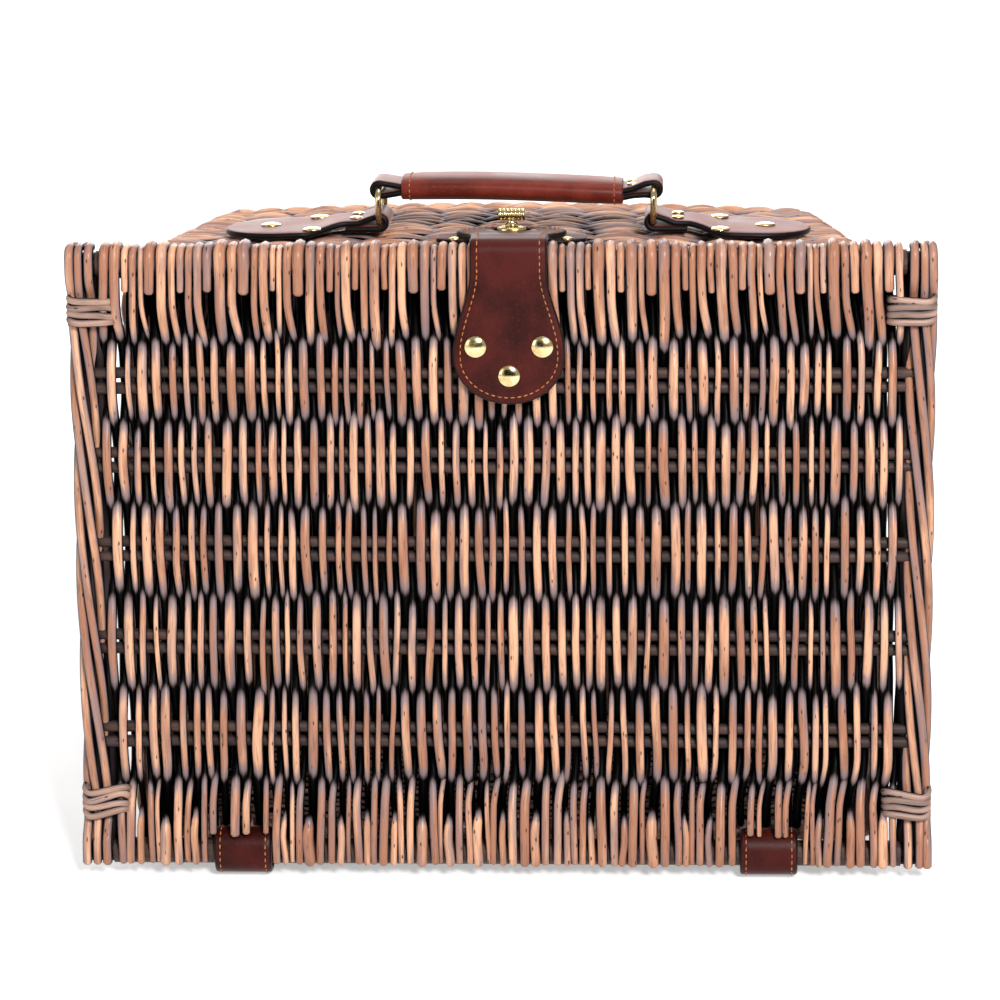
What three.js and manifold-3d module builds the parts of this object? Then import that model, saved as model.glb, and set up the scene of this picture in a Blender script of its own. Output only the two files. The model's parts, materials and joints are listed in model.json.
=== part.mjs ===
// Picnic hamper of woven willow, standing on its hinge side with the lid to the front.
// Everything is built in the hamper's own frame: x to the right, y back from the lid, z up along it,
// with y = z = 0 on the middle line of the stick that the lid hinges on. The whole then leans back
// onto its leather hinge loops and the base border. All sizes are millimetres.

import * as THREE from "three";
import { mergeVertices } from "three/addons/utils/BufferGeometryUtils.js";
import Module from "manifold-3d";

const wasm = await Module();
wasm.setup();

// Clearance between pieces that touch
const gap = 0.3;

// Lid
const lidWidth = 400;
const lidHeight = 295.4;
const rodEndDrop = 3.7;
const frameStick = 12;
const rodThickness = 3.5;
const crossStick = 6;
const stickPitch = 5.7;
const rowSteps = [54.8, 37.7, 42.4, 44.9, 44.9];
const rowHold = 9;
const rodColumns = 44;
const weaveDepth = 3.2;
const rodGroove = 1.3;
const sidePost = 11.2;
const bindingHeight = 12.6;
const bindingWrap = 23.5;
const bindingCord = 2.4;
const bindingFromTop = 22;
const bindingFromHinge = 25.5;
const bindingTurns = 4;

// Body
const sideOverhang = 22;
const topOverhang = 7;
const hingeSideOverhang = 4.7;
const bodyDepth = 170;
const sideTaper = 26;
const topTaper = 4;
const bottomTaper = 4;
const wallThickness = 9;
const topBow = 3.5;
const sideBow = 2.5;
const bottomBow = 2;
const strandPitch = 9;
const wideStakes = 12;
const sideStakes = 9;
const strandSwing = 3.4;
const strandGroove = 1.4;
const rimRoll = 11;
const cornerPost = 12;
const borderDepth = 12;
const borderWidth = 12;
const borderRound = 5;
const borderCorner = 12;
const basePanel = 8;

// Leather and its rivets
const leather = 2.8;
const rivetShank = 3.2;
const rivetDepth = 2.4;
const rivetDome = 2;
const strapRivet = 10.2;
const chapeRivet = 9.2;
const patchRivet = 5.2;

// Closing strap and its turning button
const strapOffset = 4.4;
const strapWaist = 35.4;
const strapLobe = 51.4;
const strapReach = 73.4;
const strapRound = 22;
const strapFull = 2;
const strapDrawn = 38;
const strapBend = 4.9;
const strapRivetRise = 27.2;
const strapRivetLow = 13.6;
const strapRivetSpread = 15.3;
const flapRound = 12;
const flapFull = 4;
const flapDrawn = 14;
const flapMargin = 6;
const slotLength = 19;
const slotWidth = 11;
const buttonDepth = 27;
const patchWidth = 70;
const patchThickness = 2;
const patchFront = 11.5;
const patchBack = 41;
const patchCorner = 9;
const patchRivetSpread = 26;
const patchRivetDepth = 16.5;
const bossLength = 13.7;
const bossWidth = 9.6;
const bossHeight = 4.5;
const buttonShaft = 3.2;
const buttonSunk = 2.4;
const neckDiameter = 6.8;
const neckHeight = 2.6;
const knobDiameter = 5.8;
const knobLength = 12.3;
const knobRidges = 7;
const knobGroove = 0.45;

// Hinge loops
const hingeInset = 76;
const loopWidth = 27;
const loopUp = 2.4;
const loopDown = 1.2;
const loopTail = 52;
const notchClearance = 1.2;

// Handle
const handleOffset = 5;
const handleDepth = 72;
const ringSpan = 130;
const ringWire = 3;
const ringWidth = 36;
const ringHeight = 15.5;
const ringCorner = 2.6;
const chapeLength = 78;
const chapeHalf = 26;
const chapeNeckHalf = 15;
const chapeRound = 30;
const chapeFull = 10;
const chapeDrawn = 18;
const chapeFoldBack = 16;
const chapeRivetOuter = 53;
const chapeRivetInner = 31;
const chapeRivetSpread = 19;
const gripLength = 104;
const gripWidth = 32;
const gripThickness = 11.5;
const gripArch = 2;
const handleStrapHalf = 13;
const handleTuck = 12;

// Worked out from the sizes above
const lidHalf = frameStick / 2 + rodThickness;
const panelHalf = crossStick / 2 + rodThickness + 1;
const lidTop = lidHeight - rodEndDrop;
const topStick = lidTop - lidHalf;
const mouth = lidHalf + gap;
const baseBack = mouth + bodyDepth;
const mouthHalf = lidWidth / 2 - sideOverhang;
const mouthTop = lidTop - topOverhang;
const mouthBottom = hingeSideOverhang - rodEndDrop;
const wallFront = mouth + rimRoll + gap;
const wallBack = baseBack - borderDepth - gap;

const along = (y) => (y - mouth) / bodyDepth;
const halfAt = (y) => mouthHalf - sideTaper * along(y);
const topAt = (y) => mouthTop - topTaper * along(y);
const bottomAt = (y) => mouthBottom + bottomTaper * along(y);
const topSpan = (y) => halfAt(y) - cornerPost - gap;
const topSurface = (x, y) => topAt(y) + topBow * (1 - (x / topSpan(y)) ** 2);

const wicker = new THREE.MeshStandardMaterial({ color: 0xb07a4e, roughness: 0.7 });
const stickWood = new THREE.MeshStandardMaterial({ color: 0x5f3d27, roughness: 0.75 });
const hide = new THREE.MeshStandardMaterial({ color: 0x5e2118, roughness: 0.5 });
const brass = new THREE.MeshStandardMaterial({ color: 0xd0a548, roughness: 0.3, metalness: 1 });

// A closed mesh from its points and triangles, turned so that its faces point out.
function closedMesh(points, triangles) {
  const [a, b, c] = [new THREE.Vector3(), new THREE.Vector3(), new THREE.Vector3()];
  let volume = 0;
  for (const [i, j, k] of triangles) {
    a.fromArray(points[i]);
    b.fromArray(points[j]);
    c.fromArray(points[k]);
    volume += a.dot(b.cross(c));
  }
  const turned = volume < 0 ? triangles.map(([i, j, k]) => [i, k, j]) : triangles;
  const geometry = new THREE.BufferGeometry();
  geometry.setAttribute("position", new THREE.Float32BufferAttribute(points.flat(), 3));
  geometry.setIndex(turned.flat());
  geometry.computeVertexNormals();
  return geometry;
}

// A skin over rings of points, all with the same count. The two ends are capped, or joined when looped.
function skin(rings, looped = false) {
  const count = rings[0].length;
  const points = rings.flat();
  const triangles = [];
  const last = looped ? rings.length : rings.length - 1;
  for (let i = 0; i < last; i++) {
    const next = (i + 1) % rings.length;
    for (let j = 0; j < count; j++) {
      const k = (j + 1) % count;
      triangles.push([i * count + j, next * count + j, next * count + k]);
      triangles.push([i * count + j, next * count + k, i * count + k]);
    }
  }
  if (looped) return closedMesh(points, triangles);
  for (const [start, flip] of [[0, false], [(rings.length - 1) * count, true]]) {
    const ring = points.slice(start, start + count);
    const middle = [0, 1, 2].map((n) => ring.reduce((sum, p) => sum + p[n], 0) / count);
    const hub = points.push(middle) - 1;
    for (let j = 0; j < count; j++) {
      const edge = [start + j, start + ((j + 1) % count)];
      triangles.push(flip ? [hub, edge[1], edge[0]] : [hub, edge[0], edge[1]]);
    }
  }
  return closedMesh(points, triangles);
}

// A slab between an outer and an inner surface, each a function of u and v from 0 to 1.
function slab(outer, inner, uSteps, vSteps) {
  const points = [];
  const at = [[], []];
  [outer, inner].forEach((surface, side) => {
    for (let i = 0; i <= uSteps; i++) {
      at[side].push([]);
      for (let j = 0; j <= vSteps; j++) {
        at[side][i].push(points.push(surface(i / uSteps, j / vSteps)) - 1);
      }
    }
  });
  const triangles = [];
  const quad = (a, b, c, d) => triangles.push([a, b, c], [a, c, d]);
  const [front, back] = at;
  for (let i = 0; i < uSteps; i++) {
    for (let j = 0; j < vSteps; j++) {
      quad(front[i][j], front[i + 1][j], front[i + 1][j + 1], front[i][j + 1]);
      quad(back[i][j], back[i][j + 1], back[i + 1][j + 1], back[i + 1][j]);
    }
    quad(front[i][0], back[i][0], back[i + 1][0], front[i + 1][0]);
    quad(front[i][vSteps], front[i + 1][vSteps], back[i + 1][vSteps], back[i][vSteps]);
  }
  for (let j = 0; j < vSteps; j++) {
    quad(front[0][j], front[0][j + 1], back[0][j + 1], back[0][j]);
    quad(front[uSteps][j], back[uSteps][j], back[uSteps][j + 1], front[uSteps][j + 1]);
  }
  return closedMesh(points, triangles);
}

// A strap of even thickness. Each station gives its middle line as run and rise, with the half width there,
// and place(run, across, rise) puts a point into the hamper's frame.
function ribbon(stations, thickness, place) {
  const rings = stations.map((station, i) => {
    const before = stations[Math.max(i - 1, 0)];
    const after = stations[Math.min(i + 1, stations.length - 1)];
    const way = new THREE.Vector2(after.run - before.run, after.rise - before.rise).normalize();
    const bulge = thickness / 2;
    return [[1, 1], [-1, 1], [-1, -1], [1, -1]].map(([side, lift]) =>
      place(station.run - way.y * bulge * lift, station.half * side, station.rise + way.x * bulge * lift),
    );
  });
  return skin(rings);
}

// Points on an arc in a plane, both angles in degrees.
function arc(middle, radius, from, to, steps) {
  return Array.from({ length: steps + 1 }, (_, i) => {
    const angle = THREE.MathUtils.degToRad(from + ((to - from) * i) / steps);
    return [middle[0] + radius * Math.cos(angle), middle[1] + radius * Math.sin(angle)];
  });
}

// A closed outline with round corners, anticlockwise, in a plane. The left corners may be tighter.
function roundedOutline(left, right, low, high, radius, steps, tight = radius) {
  return [
    ...arc([right - radius, low + radius], radius, -90, 0, steps),
    ...arc([right - radius, high - radius], radius, 0, 90, steps),
    ...arc([left + tight, high - tight], tight, 90, 180, steps),
    ...arc([left + tight, low + tight], tight, 180, 270, steps),
  ];
}

const shapeOf = (outline) => new THREE.Shape(outline.map(([a, b]) => new THREE.Vector2(a, b)));

// Turns a geometry so that its own x, y and z run along the hamper's y, z and x.
const acrossLid = new THREE.Matrix4().makeBasis(
  new THREE.Vector3(0, 1, 0), new THREE.Vector3(0, 0, 1), new THREE.Vector3(1, 0, 0),
);

// A bar along x with the given outline in y and z.
function barAlongX(outline, fromX, toX, holes = []) {
  const shape = shapeOf(outline);
  holes.forEach((hole) => shape.holes.push(new THREE.Path(shapeOf(hole).getPoints())));
  const bar = new THREE.ExtrudeGeometry(shape, { depth: toX - fromX, bevelEnabled: false });
  return bar.applyMatrix4(acrossLid).translate(fromX, 0, 0);
}

function toSolid(geometry) {
  const bare = geometry.clone();
  bare.deleteAttribute("normal");
  bare.deleteAttribute("uv");
  const merged = mergeVertices(bare, 1e-4);
  return new wasm.Manifold(
    new wasm.Mesh({
      numProp: 3,
      vertProperties: new Float32Array(merged.attributes.position.array),
      triVerts: new Uint32Array(merged.index.array),
    }),
  );
}

function fromSolid(solid) {
  const mesh = solid.getMesh();
  const geometry = new THREE.BufferGeometry();
  geometry.setAttribute("position", new THREE.BufferAttribute(mesh.vertProperties, 3));
  geometry.setIndex(new THREE.BufferAttribute(mesh.triVerts, 1));
  geometry.computeVertexNormals();
  return geometry;
}

const cut = (geometry, tools) =>
  fromSolid(tools.reduce((solid, tool) => solid.subtract(toSolid(tool)), toSolid(geometry)));
const join = (geometries) =>
  fromSolid(geometries.map(toSolid).reduce((all, one) => all.add(one)));

// A domed rivet standing on y = 0 of its own axis, with its shank below.
function rivet(diameter) {
  const [rim, dome, shank] = [diameter / 2, rivetDome, rivetShank / 2];
  const profile = [[0, -rivetDepth], [shank, -rivetDepth], [shank, gap], [rim, gap], [rim, gap + dome * 0.35],
    [rim * 0.7, gap + dome * 0.85], [0, gap + dome]];
  return new THREE.LatheGeometry(profile.map(([r, y]) => new THREE.Vector2(r, y)), 9);
}

const up = new THREE.Euler(Math.PI / 2, 0, 0);
const forward = new THREE.Euler(Math.PI, 0, 0);

// A hole for a rivet's shank, through leather whose outer face is at the given point.
function shankHole(point, turn) {
  const hole = new THREE.CylinderGeometry(rivetShank / 2 + gap, rivetShank / 2 + gap, 4 * leather, 12);
  return hole.applyMatrix4(new THREE.Matrix4().makeRotationFromEuler(turn)).translate(...point);
}

const hamper = new THREE.Group();

function add(name, geometry, material) {
  const mesh = new THREE.Mesh(geometry, material);
  mesh.name = name;
  hamper.add(mesh);
  return mesh;
}

function addRivet(name, diameter, point, turn) {
  const mesh = add(name, rivet(diameter), brass);
  mesh.position.set(...point);
  mesh.rotation.copy(turn);
}

// Lid: sticks, woven panel, side posts and corner bindings

const postX = lidWidth / 2 - bindingCord - sidePost / 2;
const panelEdge = postX - sidePost / 2 - gap;
const rowHeights = rowSteps.map((_, i) => topStick - rowSteps.slice(0, i + 1).reduce((a, b) => a + b));
const hingeX = lidWidth / 2 - hingeInset;
const loopHalf = frameStick / 2 + gap + leather;
const bindingMiddles = [topStick - bindingFromTop, bindingFromHinge];
const bindingInner = lidWidth / 2 - bindingWrap;

// One side of a column of rods, from its cut ends up over the top stick. It lies in front of one row's sticks
// and behind the next row's, and its neighbours do the opposite. side is -1 for the front.
function columnSide(side, column) {
  const thick = side * (lidHalf - (column % 2 ? 0 : rodGroove));
  const rows = [...rowHeights].reverse().flatMap((z, row) => {
    const shows = (column + row) % 2 === (side > 0 ? 1 : 0);
    const y = side * (shows ? panelHalf : panelHalf - weaveDepth);
    return [[y, z - rowHold], [y, z + rowHold]];
  });
  const crown = arc([0, topStick], Math.abs(thick), 0, 84, 3).map(([y, z]) => [side * y, z]);
  return [[thick, -rodEndDrop], [thick, frameStick], ...rows, [thick, topStick - frameStick], ...crown];
}

function lidPanel() {
  const levels = columnSide(1, 0).length - 1;
  const face = (side) => (u, v) => {
    const [y, z] = columnSide(side, Math.round(u * rodColumns))[Math.round(v * levels)];
    return [(2 * u - 1) * panelEdge, y, z];
  };
  const bars = [topStick, 0].map((z) => {
    return barAlongX(arc([0, z], frameStick / 2 + gap, 0, 330, 11), -lidWidth, lidWidth);
  });
  for (const z of rowHeights) {
    const channel = new THREE.BoxGeometry(2 * lidWidth, crossStick + 2 * gap, stickPitch + crossStick + 2 * gap);
    bars.push(channel.translate(0, 0, z));
  }
  for (const side of [-1, 1]) {
    const notch = loopWidth + 2 * notchClearance;
    const top = loopHalf + loopUp + notchClearance;
    bars.push(new THREE.BoxGeometry(notch, 4 * lidHalf, 2 * top).translate(side * hingeX, 0, 0));
    for (const z of bindingMiddles) {
      const width = bindingCord + 2 * gap;
      const slot = new THREE.BoxGeometry(width, 4 * lidHalf, bindingHeight + 2 * gap);
      bars.push(slot.translate(side * (bindingInner + bindingCord / 2), 0, z));
    }
  }
  return cut(slab(face(-1), face(1), rodColumns, levels), bars);
}

add("lid_weave", lidPanel(), wicker);
const stickEnd = panelEdge - gap;
for (const [name, z] of [["lid_stick_top", topStick], ["lid_stick_hinge", 0]]) {
  add(name, barAlongX(arc([0, z], frameStick / 2, 0, 337.5, 15), -stickEnd, stickEnd), stickWood);
}
rowHeights.forEach((z, i) => {
  const pair = [-1, 1].map((side) =>
    barAlongX(arc([0, z + (side * stickPitch) / 2], crossStick / 2, 0, 330, 11), -stickEnd, stickEnd),
  );
  add("lid_cross_sticks_" + (i + 1), join(pair), stickWood);
});

// A side post is three rods laid together with a slow twist.
function twistedPost(x, twist) {
  const steps = 12;
  const rings = Array.from({ length: steps + 1 }, (_, i) => {
    const z = -rodEndDrop + (lidHeight * i) / steps;
    const round = i === 0 || i === steps ? 0.75 : 1;
    return Array.from({ length: 12 }, (_, j) => {
      const angle = (Math.PI * j) / 6;
      const radius = round * (sidePost / 2) * (0.9 + 0.1 * Math.cos(3 * angle + twist * i * 0.45));
      return [x + radius * Math.cos(angle), radius * Math.sin(angle), z];
    });
  });
  return skin(rings);
}

// A binding: turns of split willow drawn round the post and the panel's outer rods.
function binding(side, z) {
  const reach = lidHalf + gap + bindingCord / 2;
  const inner = bindingInner + bindingCord / 2;
  const outer = lidWidth / 2 - bindingCord / 2;
  const route = roundedOutline(inner, outer, -reach, reach, sidePost / 2, 2, bindingCord * 0.75);
  const pitch = bindingHeight / bindingTurns;
  const rings = route.map(([x, y], i) => {
    const before = route[(i + route.length - 1) % route.length];
    const after = route[(i + 1) % route.length];
    const way = new THREE.Vector2(after[0] - before[0], after[1] - before[1]).normalize();
    const at = (out, lift) => [side * (x + way.y * out), y - way.x * out, z + lift];
    const half = bindingCord / 2;
    const edge = Array.from({ length: 2 * bindingTurns + 1 }, (_, k) =>
      at(k % 2 ? half : half * 0.35, -bindingHeight / 2 + (k * pitch) / 2),
    );
    return [...edge, at(-half, bindingHeight / 2), at(-half, -bindingHeight / 2)];
  });
  return skin(rings, true);
}

for (const [name, side] of [["left", -1], ["right", 1]]) {
  add("lid_post_" + name, twistedPost(side * postX, side), wicker);
  ["top", "hinge"].forEach((end, i) => {
    add("lid_binding_" + end + "_" + name, binding(side, bindingMiddles[i]), wicker);
  });
}

// Body: four woven walls between corner posts, a rolled rim and a base with its border

const wallDepth = wallBack - wallFront;
const strands = Math.round(wallDepth / strandPitch);

// How far the weave lies in from a wall's two faces: each strand passes outside one stake and inside the next.
const swing = (u, v, stakes) => ((Math.round(u * stakes) + Math.round(v * strands)) % 2 ? strandSwing : 0);
const outside = (stakes) => (u, v) => swing(u, v, stakes);
const inside = (stakes) => (u, v) => wallThickness - strandSwing + swing(u, v, stakes);

// A wall across the top or the bottom: out is 1 for the top and -1 for the bottom.
function flatWall(edgeAt, bow, out) {
  const surface = (inset) => (u, v) => {
    const y = wallFront + v * wallDepth;
    const reach = 2 * u - 1;
    const z = edgeAt(y) + out * (bow * (1 - reach ** 2) - inset(u, v));
    return [reach * topSpan(y), y, z];
  };
  return slab(surface(outside(wideStakes)), surface(inside(wideStakes)), wideStakes, strands);
}

function sideWall(side) {
  const surface = (inset) => (u, v) => {
    const y = wallFront + v * wallDepth;
    const low = bottomAt(y) + cornerPost + gap;
    const high = topAt(y) - cornerPost - gap;
    const x = side * (halfAt(y) + sideBow * (1 - (2 * u - 1) ** 2) - inset(u, v));
    return [x, y, low + u * (high - low)];
  };
  return slab(surface(outside(sideStakes)), surface(inside(sideStakes)), sideStakes, strands);
}

add("wall_top", flatWall(topAt, topBow, 1), wicker);
add("wall_bottom", flatWall(bottomAt, bottomBow, -1), wicker);
add("wall_left", sideWall(-1), wicker);
add("wall_right", sideWall(1), wicker);

for (const [end, edgeAt, out] of [["top", topAt, 1], ["bottom", bottomAt, -1]]) {
  for (const [name, side] of [["left", -1], ["right", 1]]) {
    const rings = [wallFront, wallBack].map((y) => {
      const middle = [side * (halfAt(y) - cornerPost / 2), edgeAt(y) - (out * cornerPost) / 2];
      return arc(middle, cornerPost / 2, 0, 330, 11).map(([x, z]) => [x, y, z]);
    });
    add("corner_post_" + end + "_" + name, skin(rings), stickWood);
  }
}

// A rolled rim along x that bows with its wall, and one along z between the other two.
const rimY = mouth + rimRoll / 2;
const roll = (point, way) =>
  arc([0, 0], rimRoll / 2, 0, 324, 9).map(([p, q]) => [point[0] + way[0] * p, point[1] + q, point[2] + way[1] * p]);

function rimAcross(edge, bow, out) {
  const rings = Array.from({ length: 13 }, (_, i) => {
    const reach = -1 + i / 6;
    const z = edge + out * (bow * (1 - reach ** 2) - rimRoll / 2);
    return roll([reach * mouthHalf, rimY, z], [0, 1]);
  });
  return skin(rings);
}

function rimUpright(side) {
  const low = mouthBottom + rimRoll + gap;
  const high = mouthTop - rimRoll - gap;
  const rings = Array.from({ length: 9 }, (_, i) => {
    const reach = -1 + i / 4;
    const x = side * (mouthHalf + sideBow * (1 - reach ** 2) - rimRoll / 2);
    return roll([x, rimY, (low + high + reach * (high - low)) / 2], [1, 0]);
  });
  return skin(rings);
}

add("rim_top", rimAcross(mouthTop, topBow, 1), wicker);
add("rim_bottom", rimAcross(mouthBottom, bottomBow, -1), wicker);
add("rim_left", rimUpright(-1), wicker);
add("rim_right", rimUpright(1), wicker);

const baseHalf = halfAt(baseBack);
const [baseLow, baseHigh] = [bottomAt(baseBack), topAt(baseBack)];

function baseBorder() {
  const r = borderRound;
  const outer = roundedOutline(-baseHalf + r, baseHalf - r, baseLow + r, baseHigh - r, borderCorner - r, 3);
  const w = borderWidth - r;
  const inner = roundedOutline(-baseHalf + w, baseHalf - w, baseLow + w, baseHigh - w, borderCorner - w, 3);
  const shape = shapeOf(outer);
  shape.holes.push(new THREE.Path(shapeOf(inner).getPoints()));
  const options = { depth: borderDepth - 2 * r, bevelThickness: r, bevelSize: r, bevelSegments: 3 };
  return new THREE.ExtrudeGeometry(shape, options).rotateX(Math.PI / 2).translate(0, baseBack - r, 0);
}

add("base_border", baseBorder(), wicker);

// The base is a woven panel inside its border, ribbed the same way as the lid.
function basePanelSolid() {
  const inset = borderWidth + gap;
  const half = baseHalf - inset;
  const count = 2 * Math.round(half / strandPitch);
  const surface = (y, sign) => (u, v) => {
    const dip = Math.round(u * count) % 2 ? 0 : strandGroove;
    return [(2 * u - 1) * half, y + sign * dip, baseLow + inset + v * (baseHigh - baseLow - 2 * inset)];
  };
  const back = baseBack - gap;
  return slab(surface(back, -1), surface(back - basePanel, 1), count, 1);
}

add("base_panel", basePanelSolid(), wicker);

// Hinge loops: leather round the lid's lower stick, with a tail back under the bottom wall

function hingeLoop(side) {
  const lower = [0, -loopDown];
  const upper = [0, loopUp];
  const tailTop = (y) => bottomAt(y) - bottomBow - gap;
  const rise = wallFront + loopHalf;
  const outline = [
    ...arc(upper, loopHalf, 0, 180, 8),
    ...arc(lower, loopHalf, 180, 290, 6),
    [rise, tailTop(rise) - leather], [loopTail, tailTop(loopTail) - leather], [loopTail, tailTop(loopTail)],
    [wallFront, tailTop(wallFront)], [loopHalf, -loopHalf / 2],
  ];
  const hole = [...arc(upper, frameStick / 2 + gap, 0, 180, 8), ...arc(lower, frameStick / 2 + gap, 180, 360, 8)];
  return barAlongX(outline, side * hingeX - loopWidth / 2, side * hingeX + loopWidth / 2, [hole]);
}

add("hinge_loop_left", hingeLoop(-1), hide);
add("hinge_loop_right", hingeLoop(1), hide);

// Closing strap: the front lobe is riveted to the lid, the flap above it lies over the turning button

const strapY = -(lidHalf + gap + leather / 2);
const strapZ = lidTop + gap + leather / 2;
const strapEnd = lidTop - strapReach;
const nose = leather / 2;
const flapAxisY = strapBend - 1;
const flapEnd = buttonDepth + slotWidth / 2 + flapMargin;
const patchUnder = mouthTop + topBow + gap;
const patchTop = patchUnder + patchThickness;
const flapLow = patchTop + gap + leather / 2;
const smooth = (t) => t * t * (3 - 2 * t);

// Half width of a strap's end, by distance from its tip: round, then full, then drawn in.
function endHalf(distance, [wide, narrow], round, full, drawn) {
  if (distance < round) return wide * Math.sqrt(1 - (1 - Math.max(distance / round, 0.01)) ** 2);
  const t = THREE.MathUtils.clamp((distance - round - full) / drawn, 0, 1);
  return wide + (narrow - wide) * smooth(t);
}

// Distances from a round end along a strap, closer together where its outline turns.
function distances(length, round, steps) {
  const turn = arc([round, 0], round, 180, 90, 5).map(([distance]) => distance);
  return [...turn, ...Array.from({ length: steps }, (_, i) => round + ((length - round) * (i + 1)) / steps)];
}

const lobe = [strapLobe / 2, strapWaist / 2];
const onStrap = (run, across, rise) => [strapOffset + across, run, rise];

function frontStrap() {
  const straightTop = strapZ - strapBend;
  const stations = distances(straightTop - strapEnd, strapRound, 7).map((distance) => ({
    run: strapY,
    rise: strapEnd + distance,
    half: endHalf(distance, lobe, strapRound, strapFull, strapDrawn),
  }));
  for (const [run, rise] of arc([strapY + strapBend, straightTop], strapBend, 180, 90, 5)) {
    stations.push({ run, rise, half: strapWaist / 2 });
  }
  stations.push({ run: flapAxisY - nose - gap, rise: strapZ, half: strapWaist / 2 });
  return ribbon(stations, leather, onStrap);
}

const strapRivets = [
  [strapOffset - strapRivetSpread, strapEnd + strapRivetRise],
  [strapOffset + strapRivetSpread, strapEnd + strapRivetRise],
  [strapOffset, strapEnd + strapRivetLow],
];
const strapFace = strapY - leather / 2;
add("strap", cut(frontStrap(), strapRivets.map(([x, z]) => shankHole([x, strapFace, z], new THREE.Euler()))), hide);
strapRivets.forEach(([x, z], i) => addRivet("strap_rivet_" + (i + 1), strapRivet, [x, strapFace, z], forward));

function flap() {
  const length = flapEnd - flapAxisY;
  const stations = distances(length, flapRound, 7).reverse().map((distance) => {
    const fall = smooth(Math.min(1, (2.5 * (length - distance)) / length));
    return {
      run: flapEnd - distance,
      rise: strapZ + (flapLow - strapZ) * fall,
      half: endHalf(distance, lobe, flapRound, flapFull, flapDrawn),
    };
  });
  const body = ribbon(stations, leather, onStrap);
  const round = arc([flapAxisY, strapZ], nose, 60, 300, 8);
  const end = barAlongX(round, strapOffset - strapWaist / 2, strapOffset + strapWaist / 2);
  const slot = roundedOutline(-slotLength / 2, slotLength / 2, -slotWidth / 2, slotWidth / 2, slotWidth / 2 - 0.1, 4);
  const opening = new THREE.ExtrudeGeometry(shapeOf(slot), { depth: 6 * leather, bevelEnabled: false });
  return cut(join([body, end]), [opening.translate(strapOffset, buttonDepth, flapLow - 3 * leather)]);
}

add("strap_flap", flap(), hide);

// Lock: a leather patch with two small rivets, an oval boss and the ribbed turning button

function patch() {
  const outline = roundedOutline(-patchWidth / 2, patchWidth / 2, patchFront, patchBack, patchCorner, 4);
  const sheet = new THREE.ExtrudeGeometry(shapeOf(outline), { depth: patchThickness, bevelEnabled: false });
  const holes = [-1, 1].map((side) => shankHole([side * patchRivetSpread, patchRivetDepth, patchTop], up));
  return cut(sheet.translate(0, 0, patchUnder), holes).translate(strapOffset, 0, 0);
}

add("lock_patch", patch(), hide);
for (const [name, side] of [["left", -1], ["right", 1]]) {
  const x = strapOffset + side * patchRivetSpread;
  addRivet("lock_patch_rivet_" + name, patchRivet, [x, patchRivetDepth, patchTop], up);
}

const lathe = (profile, steps) =>
  new THREE.LatheGeometry(profile.map(([r, y]) => new THREE.Vector2(r, y)), steps).rotateX(Math.PI / 2);

// The boss is a low dome, oval in plan, bored for the button's shaft.
function boss() {
  const [radius, low] = [bossLength / 2, patchTop + gap];
  const bore = buttonShaft / 2 + gap;
  const floor = low + bossHeight - buttonSunk - gap;
  const dome = [[0, low], [radius, low], [radius, low + bossHeight * 0.4], [radius * 0.88, low + bossHeight * 0.7],
    [radius * 0.55, low + bossHeight], [0, low + bossHeight]];
  const body = lathe(dome, 24).scale(1, bossWidth / bossLength, 1);
  const hole = lathe([[0, floor], [bore, floor], [bore, low + 2 * bossHeight], [0, low + 2 * bossHeight]], 12);
  return cut(body, [hole]).translate(strapOffset, buttonDepth, 0);
}

add("lock_boss", boss(), brass);

// The button: a shaft in the boss, a neck, and a ribbed grip lying across the top.
function turningButton() {
  const bossTop = patchTop + gap + bossHeight;
  const [shaft, neck, knob] = [buttonShaft / 2, neckDiameter / 2, knobDiameter / 2];
  const neckLow = bossTop + gap;
  const knobMiddle = neckLow + neckHeight + knob * 0.8;
  const stem = lathe([[0, bossTop - buttonSunk], [shaft, bossTop - buttonSunk], [shaft, neckLow], [neck, neckLow],
    [neck * 0.7, neckLow + neckHeight], [neck * 0.7, knobMiddle], [0, knobMiddle]], 12);
  const ridged = [[0, -knobLength / 2]];
  for (let i = 0; i <= 2 * knobRidges; i++) {
    const y = -knobLength / 2 + (knobLength * i) / (2 * knobRidges);
    ridged.push([knob - (i % 2 ? 0 : knobGroove), y]);
  }
  ridged.push([0, knobLength / 2]);
  const grip = lathe(ridged, 14).rotateX(-Math.PI / 2).rotateZ(Math.PI / 2).translate(0, 0, knobMiddle);
  return join([stem, grip]).translate(strapOffset, buttonDepth, 0);
}

add("turn_button", turningButton(), brass);

// Handle: leather chapes on the top wall hold two brass rings, which hold the handle's strap and grip

const ringX = ringSpan / 2;
const seat = gap + (topTaper * chapeHalf) / bodyDepth;
const foldRadius = ringWire / 2 + gap + leather / 2;
const plyZ = topSurface(ringX - Math.abs(handleOffset), handleDepth) + seat + leather / 2;
const wireZ = plyZ + foldRadius;
const ringTopZ = wireZ + ringHeight;

// The height of a chape's lower ply, which lifts off the wall towards the ring.
const chapeOuter = ringX + chapeLength - foldRadius;
function plyAt(side, run) {
  const outerZ = topSurface(Math.abs(handleOffset + side * chapeOuter), handleDepth) + seat + leather / 2;
  return outerZ + ((plyZ - outerZ) * (chapeOuter - run)) / (chapeOuter - ringX);
}

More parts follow.
